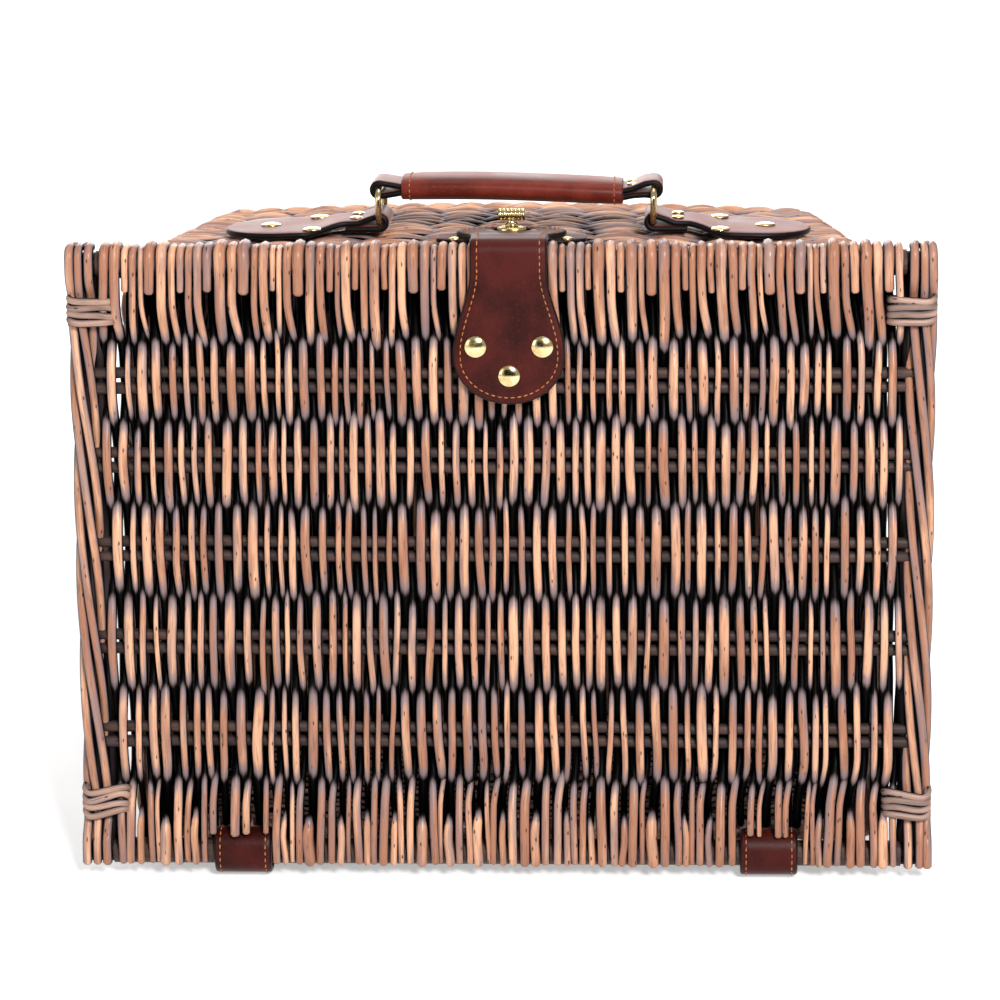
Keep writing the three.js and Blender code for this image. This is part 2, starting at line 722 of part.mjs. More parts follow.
// A chape: from its round outer end to the ring, round the ring's lower side and back over itself.
function chape(side) {
  const widths = [chapeHalf, chapeNeckHalf];
  const stations = distances(chapeOuter - ringX, chapeRound, 7).map((distance) => ({
    run: chapeOuter - distance,
    rise: plyAt(side, chapeOuter - distance),
    half: endHalf(distance, widths, chapeRound, chapeFull, chapeDrawn),
  }));
  for (const [run, rise] of arc([ringX, wireZ], foldRadius, 270, 90, 8).slice(1)) {
    stations.push({ run, rise, half: chapeNeckHalf });
  }
  const lapZ = plyZ + leather + gap;
  for (const [t, lift] of [[0.35, 0.5], [0.6, 0], [1, 0]]) {
    const rise = lapZ + lift * (wireZ + foldRadius - lapZ);
    stations.push({ run: ringX + t * chapeFoldBack, rise, half: chapeNeckHalf });
  }
  return ribbon(stations, leather, (run, across, rise) => [handleOffset + side * run, handleDepth + across, rise]);
}

const chapeRivets = [[chapeRivetOuter, 0], [chapeRivetInner, -chapeRivetSpread], [chapeRivetInner, chapeRivetSpread]];
for (const [name, side] of [["left", -1], ["right", 1]]) {
  const points = chapeRivets.map(([run, across]) => [
    handleOffset + side * (ringX + run), handleDepth + across, plyAt(side, ringX + run) + leather / 2,
  ]);
  add("chape_" + name, cut(chape(side), points.map((point) => shankHole(point, up))), hide);
  points.forEach((point, i) => addRivet("chape_rivet_" + name + "_" + (i + 1), chapeRivet, point, up));
}

function ring(side) {
  const [low, high] = [wireZ, ringTopZ];
  const route = roundedOutline(-ringWidth / 2, ringWidth / 2, low, high, ringCorner, 3);
  const rings = route.map(([y, z], i) => {
    const before = route[(i + route.length - 1) % route.length];
    const after = route[(i + 1) % route.length];
    const way = new THREE.Vector2(after[0] - before[0], after[1] - before[1]).normalize();
    return arc([0, 0], ringWire / 2, 0, 315, 7).map(([out, x]) => [
      handleOffset + side * ringX + x, handleDepth + y + way.y * out, z - way.x * out,
    ]);
  });
  return skin(rings, true);
}

add("ring_left", ring(-1), brass);
add("ring_right", ring(1), brass);

// The handle's strap turns round each ring's upper side, and both its plies run into the grip.
function handleLoop(side) {
  const inner = gripLength / 2 - handleTuck;
  const turn = arc([ringX, ringTopZ], foldRadius, 90, -90, 8);
  const tuck = (rise) => [inner, gripLength / 2].map((run) => ({ run, rise, half: handleStrapHalf }));
  const stations = [
    ...tuck(ringTopZ + foldRadius),
    ...turn.map(([run, rise]) => ({ run, rise, half: handleStrapHalf })),
    ...tuck(ringTopZ - foldRadius).reverse(),
  ];
  return ribbon(stations, leather, (run, across, rise) => [handleOffset + side * run, handleDepth + across, rise]);
}

function grip() {
  const rings = Array.from({ length: 11 }, (_, i) => {
    const reach = -1 + i / 5;
    const middle = ringTopZ + gripArch * (1 - reach ** 2);
    const slim = 1 - 0.08 * reach ** 4;
    return Array.from({ length: 14 }, (_, j) => {
      const angle = (2 * Math.PI * j) / 14;
      const [c, s] = [Math.cos(angle), Math.sin(angle)];
      const round = (value) => Math.sign(value) * Math.abs(value) ** 0.75;
      return [
        handleOffset + (reach * gripLength) / 2,
        handleDepth + (slim * gripWidth * round(c)) / 2,
        middle + (slim * gripThickness * round(s)) / 2,
      ];
    });
  });
  const pocketHeight = 2 * (foldRadius + leather / 2 + gap) + gripArch;
  const pockets = [-1, 1].map((side) => {
    const depth = 2 * (handleTuck + gap);
    const pocket = new THREE.BoxGeometry(depth, 2 * (handleStrapHalf + gap), pocketHeight);
    return pocket.translate(handleOffset + (side * gripLength) / 2, handleDepth, ringTopZ + gripArch / 2 - gap);
  });
  return cut(skin(rings), pockets);
}

add("handle_loop_left", handleLoop(-1), hide);
add("handle_loop_right", handleLoop(1), hide);
add("handle_grip", grip(), hide);

// The hamper leans back until its hinge loops and the rear edge of the base border touch one floor,
// and its origin lies on that floor under the middle of its outline.
const footing = new THREE.Vector2(baseBack - borderRound, baseLow + borderRound + loopDown);
const lean = footing.angle() - Math.asin((borderRound - loopHalf) / footing.length());
hamper.rotation.x = -lean;
const whole = new THREE.Box3().setFromObject(hamper, true);
const middle = whole.getCenter(new THREE.Vector3());
hamper.position.set(-middle.x, -middle.y, -whole.min.z);

const model = new THREE.Group();
model.add(hamper);

export default model;
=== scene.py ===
# %% [markdown]
# A picnic hamper of woven willow, dressed over its CAD frame. Every rod, strap and rivet here is a surface
# worked out with numpy, in the hamper's own frame and in millimetres: x to the right, y back from the lid,
# z up along it, with y = z = 0 on the stick that the lid hinges on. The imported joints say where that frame
# lies in the model, so one function takes finished points there, in metres.

import json
import math
from functools import partial

import bmesh
import bpy
import numpy as np
from mathutils import Matrix, Vector


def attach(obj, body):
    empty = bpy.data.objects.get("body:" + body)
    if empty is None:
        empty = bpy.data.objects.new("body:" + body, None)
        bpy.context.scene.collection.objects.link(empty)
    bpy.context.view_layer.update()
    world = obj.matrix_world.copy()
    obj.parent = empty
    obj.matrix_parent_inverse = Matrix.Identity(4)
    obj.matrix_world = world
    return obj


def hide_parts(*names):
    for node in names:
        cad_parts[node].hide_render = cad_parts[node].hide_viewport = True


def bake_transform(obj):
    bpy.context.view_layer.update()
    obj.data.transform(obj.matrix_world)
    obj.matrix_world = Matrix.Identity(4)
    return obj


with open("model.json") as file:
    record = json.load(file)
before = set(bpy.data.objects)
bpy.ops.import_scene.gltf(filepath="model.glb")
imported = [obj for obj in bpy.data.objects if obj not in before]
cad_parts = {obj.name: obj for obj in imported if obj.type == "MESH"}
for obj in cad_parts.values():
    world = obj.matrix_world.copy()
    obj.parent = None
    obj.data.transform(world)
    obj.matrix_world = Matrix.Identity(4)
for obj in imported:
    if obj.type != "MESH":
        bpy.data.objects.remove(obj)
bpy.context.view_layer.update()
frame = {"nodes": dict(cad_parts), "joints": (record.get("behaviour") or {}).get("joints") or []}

joints = {joint["name"]: joint for joint in frame["joints"]}
HINGE = np.array(joints["lid_hinge"]["pos_m"])
RIGHT = np.array([1.0, 0.0, 0.0])
BACK = np.array(joints["ring_left_swing"]["axis"])
UP = np.array(joints["button_turn"]["axis"])
# Up in the hamper's own frame, where the three axes are plain
UPWARD = np.array([0.0, 0.0, 1.0])
MM = 0.001


def to_world(points):
    """Hinge + x times right + y times back + z times up, from millimetres to metres."""
    points = np.asarray(points, float)
    return HINGE + MM * (points[..., :1] * RIGHT + points[..., 1:2] * BACK + points[..., 2:] * UP)


lean_back = math.degrees(math.asin(UP[1]))
print("hinge at", HINGE.round(4), "and the hamper leans back", round(lean_back, 2), "degrees")

# %% [markdown]
# The sizes below are the CAD model's, so that each new piece lies where the one that it stands for does.
# The lid is 400 mm wide, and the body behind it narrows towards its base.

# %% Sizes shared by the pieces
# The lid: its top, its rods' lower ends, its frame sticks' thickness, and where they and the pairs lie
LID_TOP, ROD_END = 291.7, -3.7
STICK = 12.0
TOP_STICK = LID_TOP - 9.5
ROWS = np.array([227.4, 189.7, 147.3, 102.4, 57.5])
PANEL_EDGE = 186.1
HINGE_X = 124.0
# The body: where its mouth lies, how deep it is, and how much its sides, top and bottom draw in
MOUTH, DEPTH = 9.8, 170.0
MOUTH_HALF, SIDE_TAPER = 178.0, 26.0
MOUTH_DROP, MOUTH_RISE, HEIGHT_TAPER = 7.0, 1.0, 4.0
# Leather's thickness, the air left between neighbours, and how far a rod sinks into what it folds over
LEATHER, AIR, NIP = 2.8, 0.3, 0.4


def half_at(y):
    """Half the body's width: at the mouth's half, less the taper's share by depth."""
    return MOUTH_HALF - SIDE_TAPER * (y - MOUTH) / DEPTH


def top_at(y):
    """Height of the top wall's ends: below the lid's top by the drop, and by the taper's share."""
    return LID_TOP - MOUTH_DROP - HEIGHT_TAPER * (y - MOUTH) / DEPTH


def bottom_at(y):
    """Height of the bottom wall's ends: the rise, and the taper's share above it."""
    return MOUTH_RISE + HEIGHT_TAPER * (y - MOUTH) / DEPTH


back_y = MOUTH + DEPTH
base_size = 2 * half_at(back_y), top_at(back_y) - bottom_at(back_y)
print("mouth", 2 * MOUTH_HALF, "mm wide, base", base_size, "mm")

# %% [markdown]
# Each mesh comes from a grid of points. Modelling hundreds of rods by hand would take days, so one function
# numbers the quads of such a grid, another makes round skins along many paths at once, and a third puts
# points, faces, texture coordinates and per-point values into a mesh. No loop runs over vertices.

# %% Grids
def grid_quads(rows, columns, wrap_rows=False, wrap_columns=False):
    """The quads of a grid of points: their point numbers, row times columns + column, and the (row, column)
    of each corner before wrapping."""
    quad_rows, quad_columns = np.arange(rows - (not wrap_rows)), np.arange(columns - (not wrap_columns))
    i, j = np.meshgrid(quad_rows, quad_columns, indexing="ij")
    corners = np.stack([np.stack([i + a, j + b], -1) for a, b in ((0, 0), (0, 1), (1, 1), (1, 0))], 2)
    corners = corners.reshape(-1, 4, 2)
    return (corners[..., 0] % rows) * columns + corners[..., 1] % columns, corners


def closed_skin(points, **values):
    """A part from a grid of points whose columns run round it and whose first and last rows close it."""
    rows, columns = points.shape[:2]
    quads, corners = grid_quads(rows, columns, wrap_columns=True)
    faces = quads.tolist() + [list(range(columns))[::-1], list(range((rows - 1) * columns, rows * columns))]
    uv = np.concatenate([corners.reshape(-1, 2) * MM, np.zeros((2 * columns, 2))])
    return {"points": points.reshape(-1, 3), "faces": faces, "uv": uv, "values": values}


def unit(vectors):
    """Each vector divided by its length."""
    return vectors / np.maximum(np.linalg.norm(vectors, axis=-1, keepdims=True), 1e-9)


def smooth(t):
    """3t² - 2t³ for t between 0 and 1: an even start and an even stop."""
    t = np.clip(t, 0, 1)
    return t * t * (3 - 2 * t)


def reach_along(points):
    """Distances along a line of points, from 0: the running sum of the gaps between neighbours."""
    return np.concatenate([[0], np.cumsum(np.linalg.norm(np.diff(points, axis=0), axis=1))])


def drift(rng, count, steps, knots, size):
    """Slow random drift along rods: a normal number at each knot, joined by smooth steps, times size."""
    values = rng.normal(size=(count, knots + 1))
    t = np.linspace(0, knots - 1e-6, steps)
    i = t.astype(int)
    f = smooth(t - i)
    return size * (values[:, i] * (1 - f) + values[:, i + 1] * f)


print("3 by 4 points that close sideways give", len(grid_quads(3, 4, wrap_columns=True)[0]), "quads")


# %% Tubes
# How far past an open end its cap reaches, and how wide it is there, both in shares of the radius
CAP_REACH, CAP_SHARE = 0.45, 0.62


def tubes(paths, radii, reference, sides=8, looped=False, flat=1.0, lengthwise=0.0):
    """Skins along many paths. A ring point is path + radius (cos a times across + sin a times over), where
    across is square to the path and the reference, and over is square to both. Each open end closes in a
    small round cap. Each path's pattern starts a step of lengthwise metres further on. Gives back a part:
    points, faces, corner coordinates in metres, and ring directions."""
    paths, radii = np.asarray(paths, float), np.asarray(radii, float)
    if looped:
        tangent = np.roll(paths, -1, 1) - np.roll(paths, 1, 1)
    else:
        tangent = np.gradient(paths, axis=1)
    tangent = unit(tangent)
    across = unit(np.cross(tangent, np.broadcast_to(reference, tangent.shape)))
    over = np.cross(across, tangent)
    if not looped:
        ends = [(0, -1.0), (-1, 1.0)]
        caps = [paths[:, [k]] + sign * tangent[:, [k]] * radii[:, [k], None] * CAP_REACH
                for k, sign in ends]
        paths = np.concatenate([caps[0], paths, caps[1]], 1)
        radii = np.concatenate([radii[:, :1] * CAP_SHARE, radii, radii[:, -1:] * CAP_SHARE], 1)
        across = np.concatenate([across[:, :1], across, across[:, -1:]], 1)
        over = np.concatenate([over[:, :1], over, over[:, -1:]], 1)
    count, steps = paths.shape[:2]
    angle = 2 * np.pi * np.arange(sides) / sides
    ring = across[:, :, None] * np.cos(angle)[:, None] + over[:, :, None] * (flat * np.sin(angle))[:, None]
    points = paths[:, :, None] + radii[:, :, None, None] * ring
    quads, corners = grid_quads(steps, sides, wrap_rows=looped, wrap_columns=True)
    shift = np.arange(count) * steps * sides
    quads = (quads[None] + shift[:, None, None]).reshape(-1, 4)
    reach = np.linalg.norm(np.diff(paths, axis=1, append=paths[:, :1]), axis=2)
    along = np.concatenate([np.zeros((count, 1)), np.cumsum(reach, 1)], 1) * MM
    girth = 2 * np.pi * radii.mean(1) * MM / sides
    u = along[:, corners[..., 0]] + lengthwise * np.arange(count)[:, None, None]
    v = corners[..., 1][None] * girth[:, None, None]
    uv = np.stack([u, v], -1).reshape(-1, 2)
    faces = quads.tolist()
    if not looped:
        first = np.arange(sides)[None, ::-1] + shift[:, None]
        last = np.arange(sides)[None] + shift[:, None] + (steps - 1) * sides
        faces += np.concatenate([first, last]).tolist()
        uv = np.concatenate([uv, np.zeros((2 * count * sides, 2))])
    return {"points": points.reshape(-1, 3), "faces": faces, "uv": uv, "facing": ring.reshape(-1, 3),
            "shape": (count, steps, sides)}


def spread(part, values):
    """A value per rod, or per rod and step, given to every point of each ring."""
    count, steps, sides = part["shape"]
    values = np.asarray(values, float)
    values = values[:, None] if values.ndim == 1 else values
    if values.shape[1] not in (1, steps):
        values = np.concatenate([values[:, :1], values, values[:, -1:]], 1)
    return np.repeat(np.broadcast_to(values, (count, steps)).reshape(-1), sides)


sample = tubes([[[0, 0, 0], [0, 0, 10], [0, 0, 20]]], [[2, 2, 2]], RIGHT)
print("a straight tube on three points has", len(sample["faces"]), "faces with its caps")


# %% Parts and pieces
def level(part, value):
    """The same value at every point of a part."""
    return np.full(len(part["points"]), float(value))


def joined(parts):
    """Several parts as one: points in a row, with the faces' numbers moved on."""
    start, faces = 0, []
    for part in parts:
        faces += [[k + start for k in face] for face in part["faces"]]
        start += len(part["points"])
    whole = {"points": np.concatenate([p["points"] for p in parts]), "faces": faces}
    whole["uv"] = np.concatenate([p["uv"] for p in parts])
    for key in parts[0].get("values", {}):
        whole.setdefault("values", {})[key] = np.concatenate([p["values"][key] for p in parts])
    return whole


def make_piece(name, part, material, body=None, weld=False):
    """Puts a part into a mesh object at the origin, with its place in the mesh, and gives it its finish.
    weld merges the doubled points where a round end closes, and turns the faces outwards."""
    mesh = bpy.data.meshes.new(name)
    mesh.from_pydata(to_world(part["points"]), [], part["faces"])
    layer = mesh.uv_layers.new(name="UVMap")
    layer.data.foreach_set("uv", part["uv"].astype(np.float32).ravel())
    for key, values in part.get("values", {}).items():
        attribute = mesh.attributes.new(key, "FLOAT", "POINT")
        attribute.data.foreach_set("value", np.asarray(values, np.float32))
    if weld:
        work = bmesh.new()
        work.from_mesh(mesh)
        bmesh.ops.remove_doubles(work, verts=work.verts, dist=1e-6)
        bmesh.ops.dissolve_degenerate(work, edges=work.edges, dist=1e-7)
        bmesh.ops.recalc_face_normals(work, faces=work.faces)
        work.to_mesh(mesh)
        work.free()
    mesh.shade_smooth()
    piece = bpy.data.objects.new(name, mesh)
    bpy.context.scene.collection.objects.link(piece)
    mesh.materials.append(material)
    if body:
        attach(piece, body)
    triangles = sum(len(face) - 2 for face in part["faces"])
    print(f"{name}: {len(part['points'])} points, {triangles} triangles")
    return piece


SIDES = (("left", -1), ("right", 1))
print("tools ready: grid, skin, tubes, join and mesh")

# %% [markdown]
# Finishes come first, so that each piece gets its own as it is made. A material is a small network of
# nodes. A helper adds one node at a time with its settings and links, and colours are written as hex values.

# %% Colours and a helper for nodes
def colour(text):
    """A hex sRGB colour as linear numbers: ((c + 0.055) / 1.055) to the power 2.4 above the dark part."""
    parts = [int(text[k:k + 2], 16) / 255 for k in (1, 3, 5)]
    return [c / 12.92 if c <= 0.04045 else ((c + 0.055) / 1.055) ** 2.4 for c in parts] + [1.0]


def add_node(tree, kind, links=None, **settings):
    """Adds a shader node. links maps an input's name or number to a value, to another node, whose first
    output in use is then taken, or to one output of a node."""
    node = tree.nodes.new("ShaderNode" + kind)
    for key, value in settings.items():
        setattr(node, key, value)
    for key, value in (links or {}).items():
        if isinstance(value, bpy.types.Node):
            value = next(output for output in value.outputs if output.enabled)
        if isinstance(value, bpy.types.NodeSocket):
            tree.links.new(value, node.inputs[key])
        else:
            node.inputs[key].default_value = value
    return node


def new_material(name):
    """An empty material, and the helper above bound to its network."""
    material = bpy.data.materials.new(name)
    material.use_nodes = True
    material.node_tree.nodes.clear()
    return material, partial(add_node, material.node_tree)


# A Map Range node takes value, from low, from high, to low and to high as its inputs 0 to 4
RAMP = {"interpolation_type": "SMOOTHSTEP"}
# A Mix node of colours takes its share as input 0 and the two colours as inputs 6 and 7
BLEND_COLOURS = {"data_type": "RGBA"}
print("helpers ready: #ffffff is", colour("#ffffff"))

# %% [markdown]
# Willow is boiled, peeled or left in its bark, then varnished: satin, with long streaks and small knots.
# Wherever a rod dives between its neighbours it is darkened with painted shade, lilac grey and then black.
# An image can't follow hundreds of rods, so the pattern is stretched along each rod's own UV map, whose u
# runs along it and v round it, both in metres. Each point also carries its rod's tone and how deep it lies
# behind the face that it looks out of, so the painted shade follows the weave and not the camera.

# %% Willow
def willow(name, light, middle, dark, stain_and_shade, shade, gloss):
    """Varnished willow rod: streaks 12 mm long and 0.8 mm wide, clouds 36 mm long, stains 59 mm long, and
    knots 2 mm long, about 17 mm apart."""
    material, node = new_material(name)
    place = node("UVMap", uv_map="UVMap")
    tone = node("Attribute", attribute_name="tone").outputs["Fac"]
    recess = node("Attribute", attribute_name="recess").outputs["Fac"]
    scales = {"streak": (85.0, 1300.0), "cloud": (28.0, 95.0), "patch": (17.0, 60.0), "knot": (58.0, 150.0)}
    on = {key: node("Mapping", {"Vector": place, "Scale": (*pair, 1.0)}) for key, pair in scales.items()}
    streak = node("TexNoise", {"Vector": on["streak"], "Scale": 1.0, "Detail": 3.0})
    cloud = node("TexNoise", {"Vector": on["cloud"], "Scale": 1.0, "Detail": 2.0})
    patch = node("TexNoise", {"Vector": on["patch"], "Scale": 1.0, "Detail": 2.0})
    knot = node("TexVoronoi", {"Vector": on["knot"], "Scale": 1.0}, voronoi_dimensions="2D")

    # Bare wood: between the middle and the light colour by the rod's tone, with darker streaks
    toned = node("Math", {0: tone, 1: 0.17}, operation="MULTIPLY")
    shift = node("Math", {0: cloud, 1: toned}, operation="ADD")
    lightness = node("MapRange", {0: shift, 1: 0.3, 2: 0.72}, **RAMP)
    wood = node("Mix", {0: lightness, 6: colour(middle), 7: colour(light)}, **BLEND_COLOURS)
    streaky = node("MapRange", {0: streak, 1: 0.5, 2: 0.72, 3: 0.0, 4: 0.6}, **RAMP)
    wood = node("Mix", {0: streaky, 6: wood, 7: colour(dark)}, **BLEND_COLOURS)

    # Grey stains and small dark knots
    greyed = node("MapRange", {0: patch, 1: 0.46, 2: 0.66, 3: 0.0, 4: 0.6}, **RAMP)
    wood = node("Mix", {0: greyed, 6: wood, 7: colour(stain_and_shade)}, **BLEND_COLOURS)
    spot = node("MapRange", {0: knot, 1: 0.035, 2: 0.075, 3: 1.0, 4: 0.0}, **RAMP)
    spot_share = node("Math", {0: spot, 1: 0.9}, operation="MULTIPLY")
    wood = node("Mix", {0: spot_share, 6: wood, 7: colour("#2c1811")}, **BLEND_COLOURS)

    # Painted shade: where the rod dives it turns lilac grey, then black, a little sooner or later by the
    # grey stains' noise
    uneven = node("Math", {0: patch, 1: 0.5}, operation="SUBTRACT")
    uneven = node("Math", {0: uneven, 1: 0.35}, operation="MULTIPLY")
    deep = node("Math", {0: recess, 1: uneven}, operation="ADD")
    lilac = node("MapRange", {0: deep, 1: 0.1, 2: 0.36, 3: 0.0, 4: 0.85}, **RAMP)
    wood = node("Mix", {0: lilac, 6: wood, 7: colour(stain_and_shade)}, **BLEND_COLOURS)
    black = node("MapRange", {0: deep, 1: 0.34, 2: 0.58}, **RAMP)
    wood = node("Mix", {0: black, 6: wood, 7: colour(shade)}, **BLEND_COLOURS)

    # The varnish: streaks and knots 0.4 mm deep at most, duller in the streaks and where it is deep
    ridges = node("Math", {0: streak, 1: 0.6}, operation="MULTIPLY")
    dents = node("Math", {0: spot, 1: -0.8}, operation="MULTIPLY")
    height = node("Math", {0: ridges, 1: dents}, operation="ADD")
    bump = node("Bump", {"Strength": 0.35, "Distance": 0.0004, "Height": height})
    rough = node("MapRange", {0: streak, 1: 0.3, 2: 0.7, 3: gloss - 0.06, 4: gloss + 0.1}, **RAMP)
    gleam = node("MapRange", {0: deep, 1: 0.2, 2: 0.55, 3: 0.36, 4: 0.04}, **RAMP)
    surface = node("BsdfPrincipled", {"Base Color": wood, "Roughness": rough, "Normal": bump,
                                      "Specular IOR Level": gleam})
    node("OutputMaterial", {"Surface": surface})
    return material


# Fifth colour: grey of the stains and of the painted shade where rods dive; sixth: black of deep painted
# shade
# Varnished willow: warm, satin and lively, no two rods the same
WILLOW = willow("varnished_willow", "#dca683", "#a26e54", "#50352b", "#786b70", "#040303", 0.36)
# Split willow, its flat inner side out: paler in contrast and duller
BINDING_WILLOW = willow("split_willow_binding", "#b28e7c", "#785f52", "#41312a", "#6d6267", "#060505", 0.5)
# Sticks in their dark bark, darker still with painted shade: a quiet ground behind the rods
STICK_WOOD = willow("dark_cross_stick", "#4e352a", "#30201a", "#18100e", "#352a2c", "#040303", 0.55)
print("finishes:", [m.name for m in bpy.data.materials])

# %% [markdown]
# The leather is vegetable tanned hide, dyed chestnut and sealed, with black painted edges. Its dark colour
# barely changes, so the eye reads it by its sheen: a low gloss that turns pale where it faces the sky. Its
# grain has no direction, so its patterns lie in the object's own coordinates, in metres.

# %% Leather
def leather_material(name, deep, pale, rubbed, sheen):
    """Dyed hide: clouds 22 mm across, rubbed flecks of 1 mm, pores of 0.7 mm, black where edge is 1."""
    material, node = new_material(name)
    place = node("TexCoord").outputs["Object"]
    edge = node("Attribute", attribute_name="edge").outputs["Fac"]
    cloud = node("TexNoise", {"Vector": place, "Scale": 45.0, "Detail": 4.0})
    fleck = node("TexNoise", {"Vector": place, "Scale": 900.0, "Detail": 3.0})
    pore = node("TexVoronoi", {"Vector": place, "Scale": 1500.0})
    dyed = node("MapRange", {0: cloud, 1: 0.38, 2: 0.64}, **RAMP)
    hide = node("Mix", {0: dyed, 6: colour(deep), 7: colour(pale)}, **BLEND_COLOURS)
    worn = node("MapRange", {0: fleck, 1: 0.5, 2: 0.75, 3: 0.0, 4: 0.4}, **RAMP)
    hide = node("Mix", {0: worn, 6: hide, 7: colour(rubbed)}, **BLEND_COLOURS)
    painted = node("MapRange", {0: edge, 1: 0.35, 2: 0.75}, **RAMP)
    hide = node("Mix", {0: painted, 6: hide, 7: colour("#090708")}, **BLEND_COLOURS)
    pores = node("Math", {0: pore, 1: 0.5}, operation="MULTIPLY")
    swells = node("Math", {0: cloud, 1: 1.2}, operation="MULTIPLY")
    height = node("Math", {0: pores, 1: swells}, operation="ADD")
    bump = node("Bump", {"Strength": 0.22, "Distance": 0.0003, "Height": height})
    rough = node("MapRange", {0: cloud, 1: 0.3, 2: 0.7, 3: 0.38, 4: 0.5}, **RAMP)
    surface = node("BsdfPrincipled", {"Base Color": hide, "Roughness": rough, "Normal": bump,
                                      "Specular IOR Level": 0.15, "Sheen Weight": sheen,
                                      "Sheen Roughness": 0.3, "Sheen Tint": colour("#f0ccc2")})
    node("OutputMaterial", {"Surface": surface})
    return material


# Dark chestnut hide of the strap, the patch and the hinge loops: firm, almost black in the shade
LEATHER_SKIN = leather_material("chestnut_leather", "#2b0805", "#43110c", "#5a1a10", 0.26)
# The handle's and the chapes' hide: the chestnut painted lighter, as painted light from above,
# and it shines more where the sky falls on it
HANDLE_SKIN = leather_material("handle_leather", "#561b12", "#72291c", "#803624", 0.42)
print("finishes:", [m.name for m in bpy.data.materials])

# %% [markdown]
# The seams are sewn with waxed linen. Its thread is two plies twisted, which shows as a change of tint
# along each stitch. The rivets, rings and lock are pressed brass, polished and lacquered: as a metal, it
# takes its look from what it mirrors, so only its tint and a little uneven wear are set.

# %% Thread and brass
def thread_material():
    """Waxed linen thread: orange and matt, with a twist of 0.6 mm."""
    material, node = new_material("waxed_thread")
    place = node("TexCoord").outputs["Object"]
    ply = node("TexNoise", {"Vector": place, "Scale": 1700.0, "Detail": 1.0})
    twist = node("MapRange", {0: ply, 1: 0.35, 2: 0.65}, **RAMP)
    tint = node("Mix", {0: twist, 6: colour("#8a4a20"), 7: colour("#c07f40")}, **BLEND_COLOURS)
    surface = node("BsdfPrincipled", {"Base Color": tint, "Roughness": 0.65})
    node("OutputMaterial", {"Surface": surface})
    return material


def brass_material():
    """Pressed and lacquered brass: bright, with faint wear from handling in clouds of 4 mm."""
    material, node = new_material("polished_brass")
    place = node("TexCoord").outputs["Object"]
    wear = node("TexNoise", {"Vector": place, "Scale": 260.0, "Detail": 4.0})
    worn = node("MapRange", {0: wear, 1: 0.4, 2: 0.75}, **RAMP)
    tint = node("Mix", {0: worn, 6: colour("#e6d3a0"), 7: colour("#c9ab6c")}, **BLEND_COLOURS)
    rough = node("MapRange", {0: wear, 1: 0.35, 2: 0.75, 3: 0.13, 4: 0.3}, **RAMP)
    surface = node("BsdfPrincipled", {"Base Color": tint, "Metallic": 1.0, "Roughness": rough})
    node("OutputMaterial", {"Surface": surface})
    return material


THREAD, BRASS = thread_material(), brass_material()
print("finishes:", [m.name for m in bpy.data.materials])

# %% [markdown]
# The lid's weave. Long rods fold over the top stick and run down in front of and behind five pairs of cross
# sticks, every other rod the other way round. Where a rod dives, its neighbours close over it, so each run
# in front shows as a long spindle. Half of the rods that start behind the top stick end in a short stub
# over its front, and the same happens at the hinge stick. A flat sheet with a woven pattern would look
# right only from the front, so every rod is a tube of its own. No two are equally thick, as in real willow.

# %% Thickness and place of the lid's rods
rng = np.random.default_rng(7)
# A rod that starts in front every 6.75 mm, with one between every two that starts behind
ROD_PITCH = 6.75
rods = 2 * int(2 * PANEL_EDGE / ROD_PITCH) - 1
# Radii from 1.25 to 2.65 mm, the thicker ones a little more often, with up to 0.25 mm of air between
rod_radius = 1.25 + 1.4 * rng.random(rods) ** 0.95
apart = rod_radius[1:] + rod_radius[:-1] + 0.25 * rng.random(rods - 1)
rod_x = np.concatenate([[0], np.cumsum(apart)])
rod_x = (rod_x / rod_x[-1] - 0.5) * 2 * (PANEL_EDGE - 2.6)
print(rods, "rods,", (2 * rod_radius.min()).round(1), "to", (2 * rod_radius.max()).round(1), "mm thick")

# %% [markdown]
# Over the top stick and at the hinge stick only the rods in front show, side by side without a gap. So they
# have a second place and thickness there, scaled until they fill the lid's width.

# %% Their places in the two closed bands
every = np.arange(rods)
LONG, PLAIN, STUB = every[0::2], every[1::4], every[3::4]
front_ends = np.sort(np.concatenate([LONG, STUB]))
snug = (2 * PANEL_EDGE - 4) / (2 * rod_radius[front_ends].sum())
band_radius = rod_radius * snug * 0.92
band_widths = 2 * rod_radius[front_ends] * snug
band_x = np.zeros(rods)
band_x[front_ends] = np.cumsum(band_widths) - band_widths / 2 - band_widths.sum() / 2
band_x[PLAIN] = rod_x[PLAIN]
print(len(front_ends), "rod ends fill", band_widths.sum().round(1), "mm")

# %% How deep a rod lies, and how much painted shade that gives it
# From the pair's middle to the middle of a rod that passes in front of it or behind
PAIR_REACH = 5.2


def weave_depth(z, side, radius):
    """How far the rod lies back at height z: outside the frame sticks at both ends and in front of or
    behind each pair of cross sticks in turn, with smooth steps between. side is -1 where it starts in
    front."""
    frame_reach = STICK / 2 + radius - NIP
    signs = side * (-1.0) ** np.arange(1, len(ROWS) + 1)
    knots = np.concatenate([[TOP_STICK, TOP_STICK - 13], ROWS, [8.0, ROD_END]])
    above = [side * frame_reach, side * (frame_reach - 0.3)]
    below = [side * frame_reach, side * (frame_reach - 0.9)]
    depths = np.stack(above + [sign * PAIR_REACH + 0 * radius for sign in signs] + below, 1)
    order = knots[::-1]
    i = np.clip(np.searchsorted(order, z) - 1, 0, len(order) - 2)
    share = smooth((z - order[i]) / (order[i + 1] - order[i]))
    flipped = depths[:, ::-1]
    rows = np.arange(len(radius))[:, None]
    return flipped[rows, i] * (1 - share) + flipped[rows, i + 1] * share


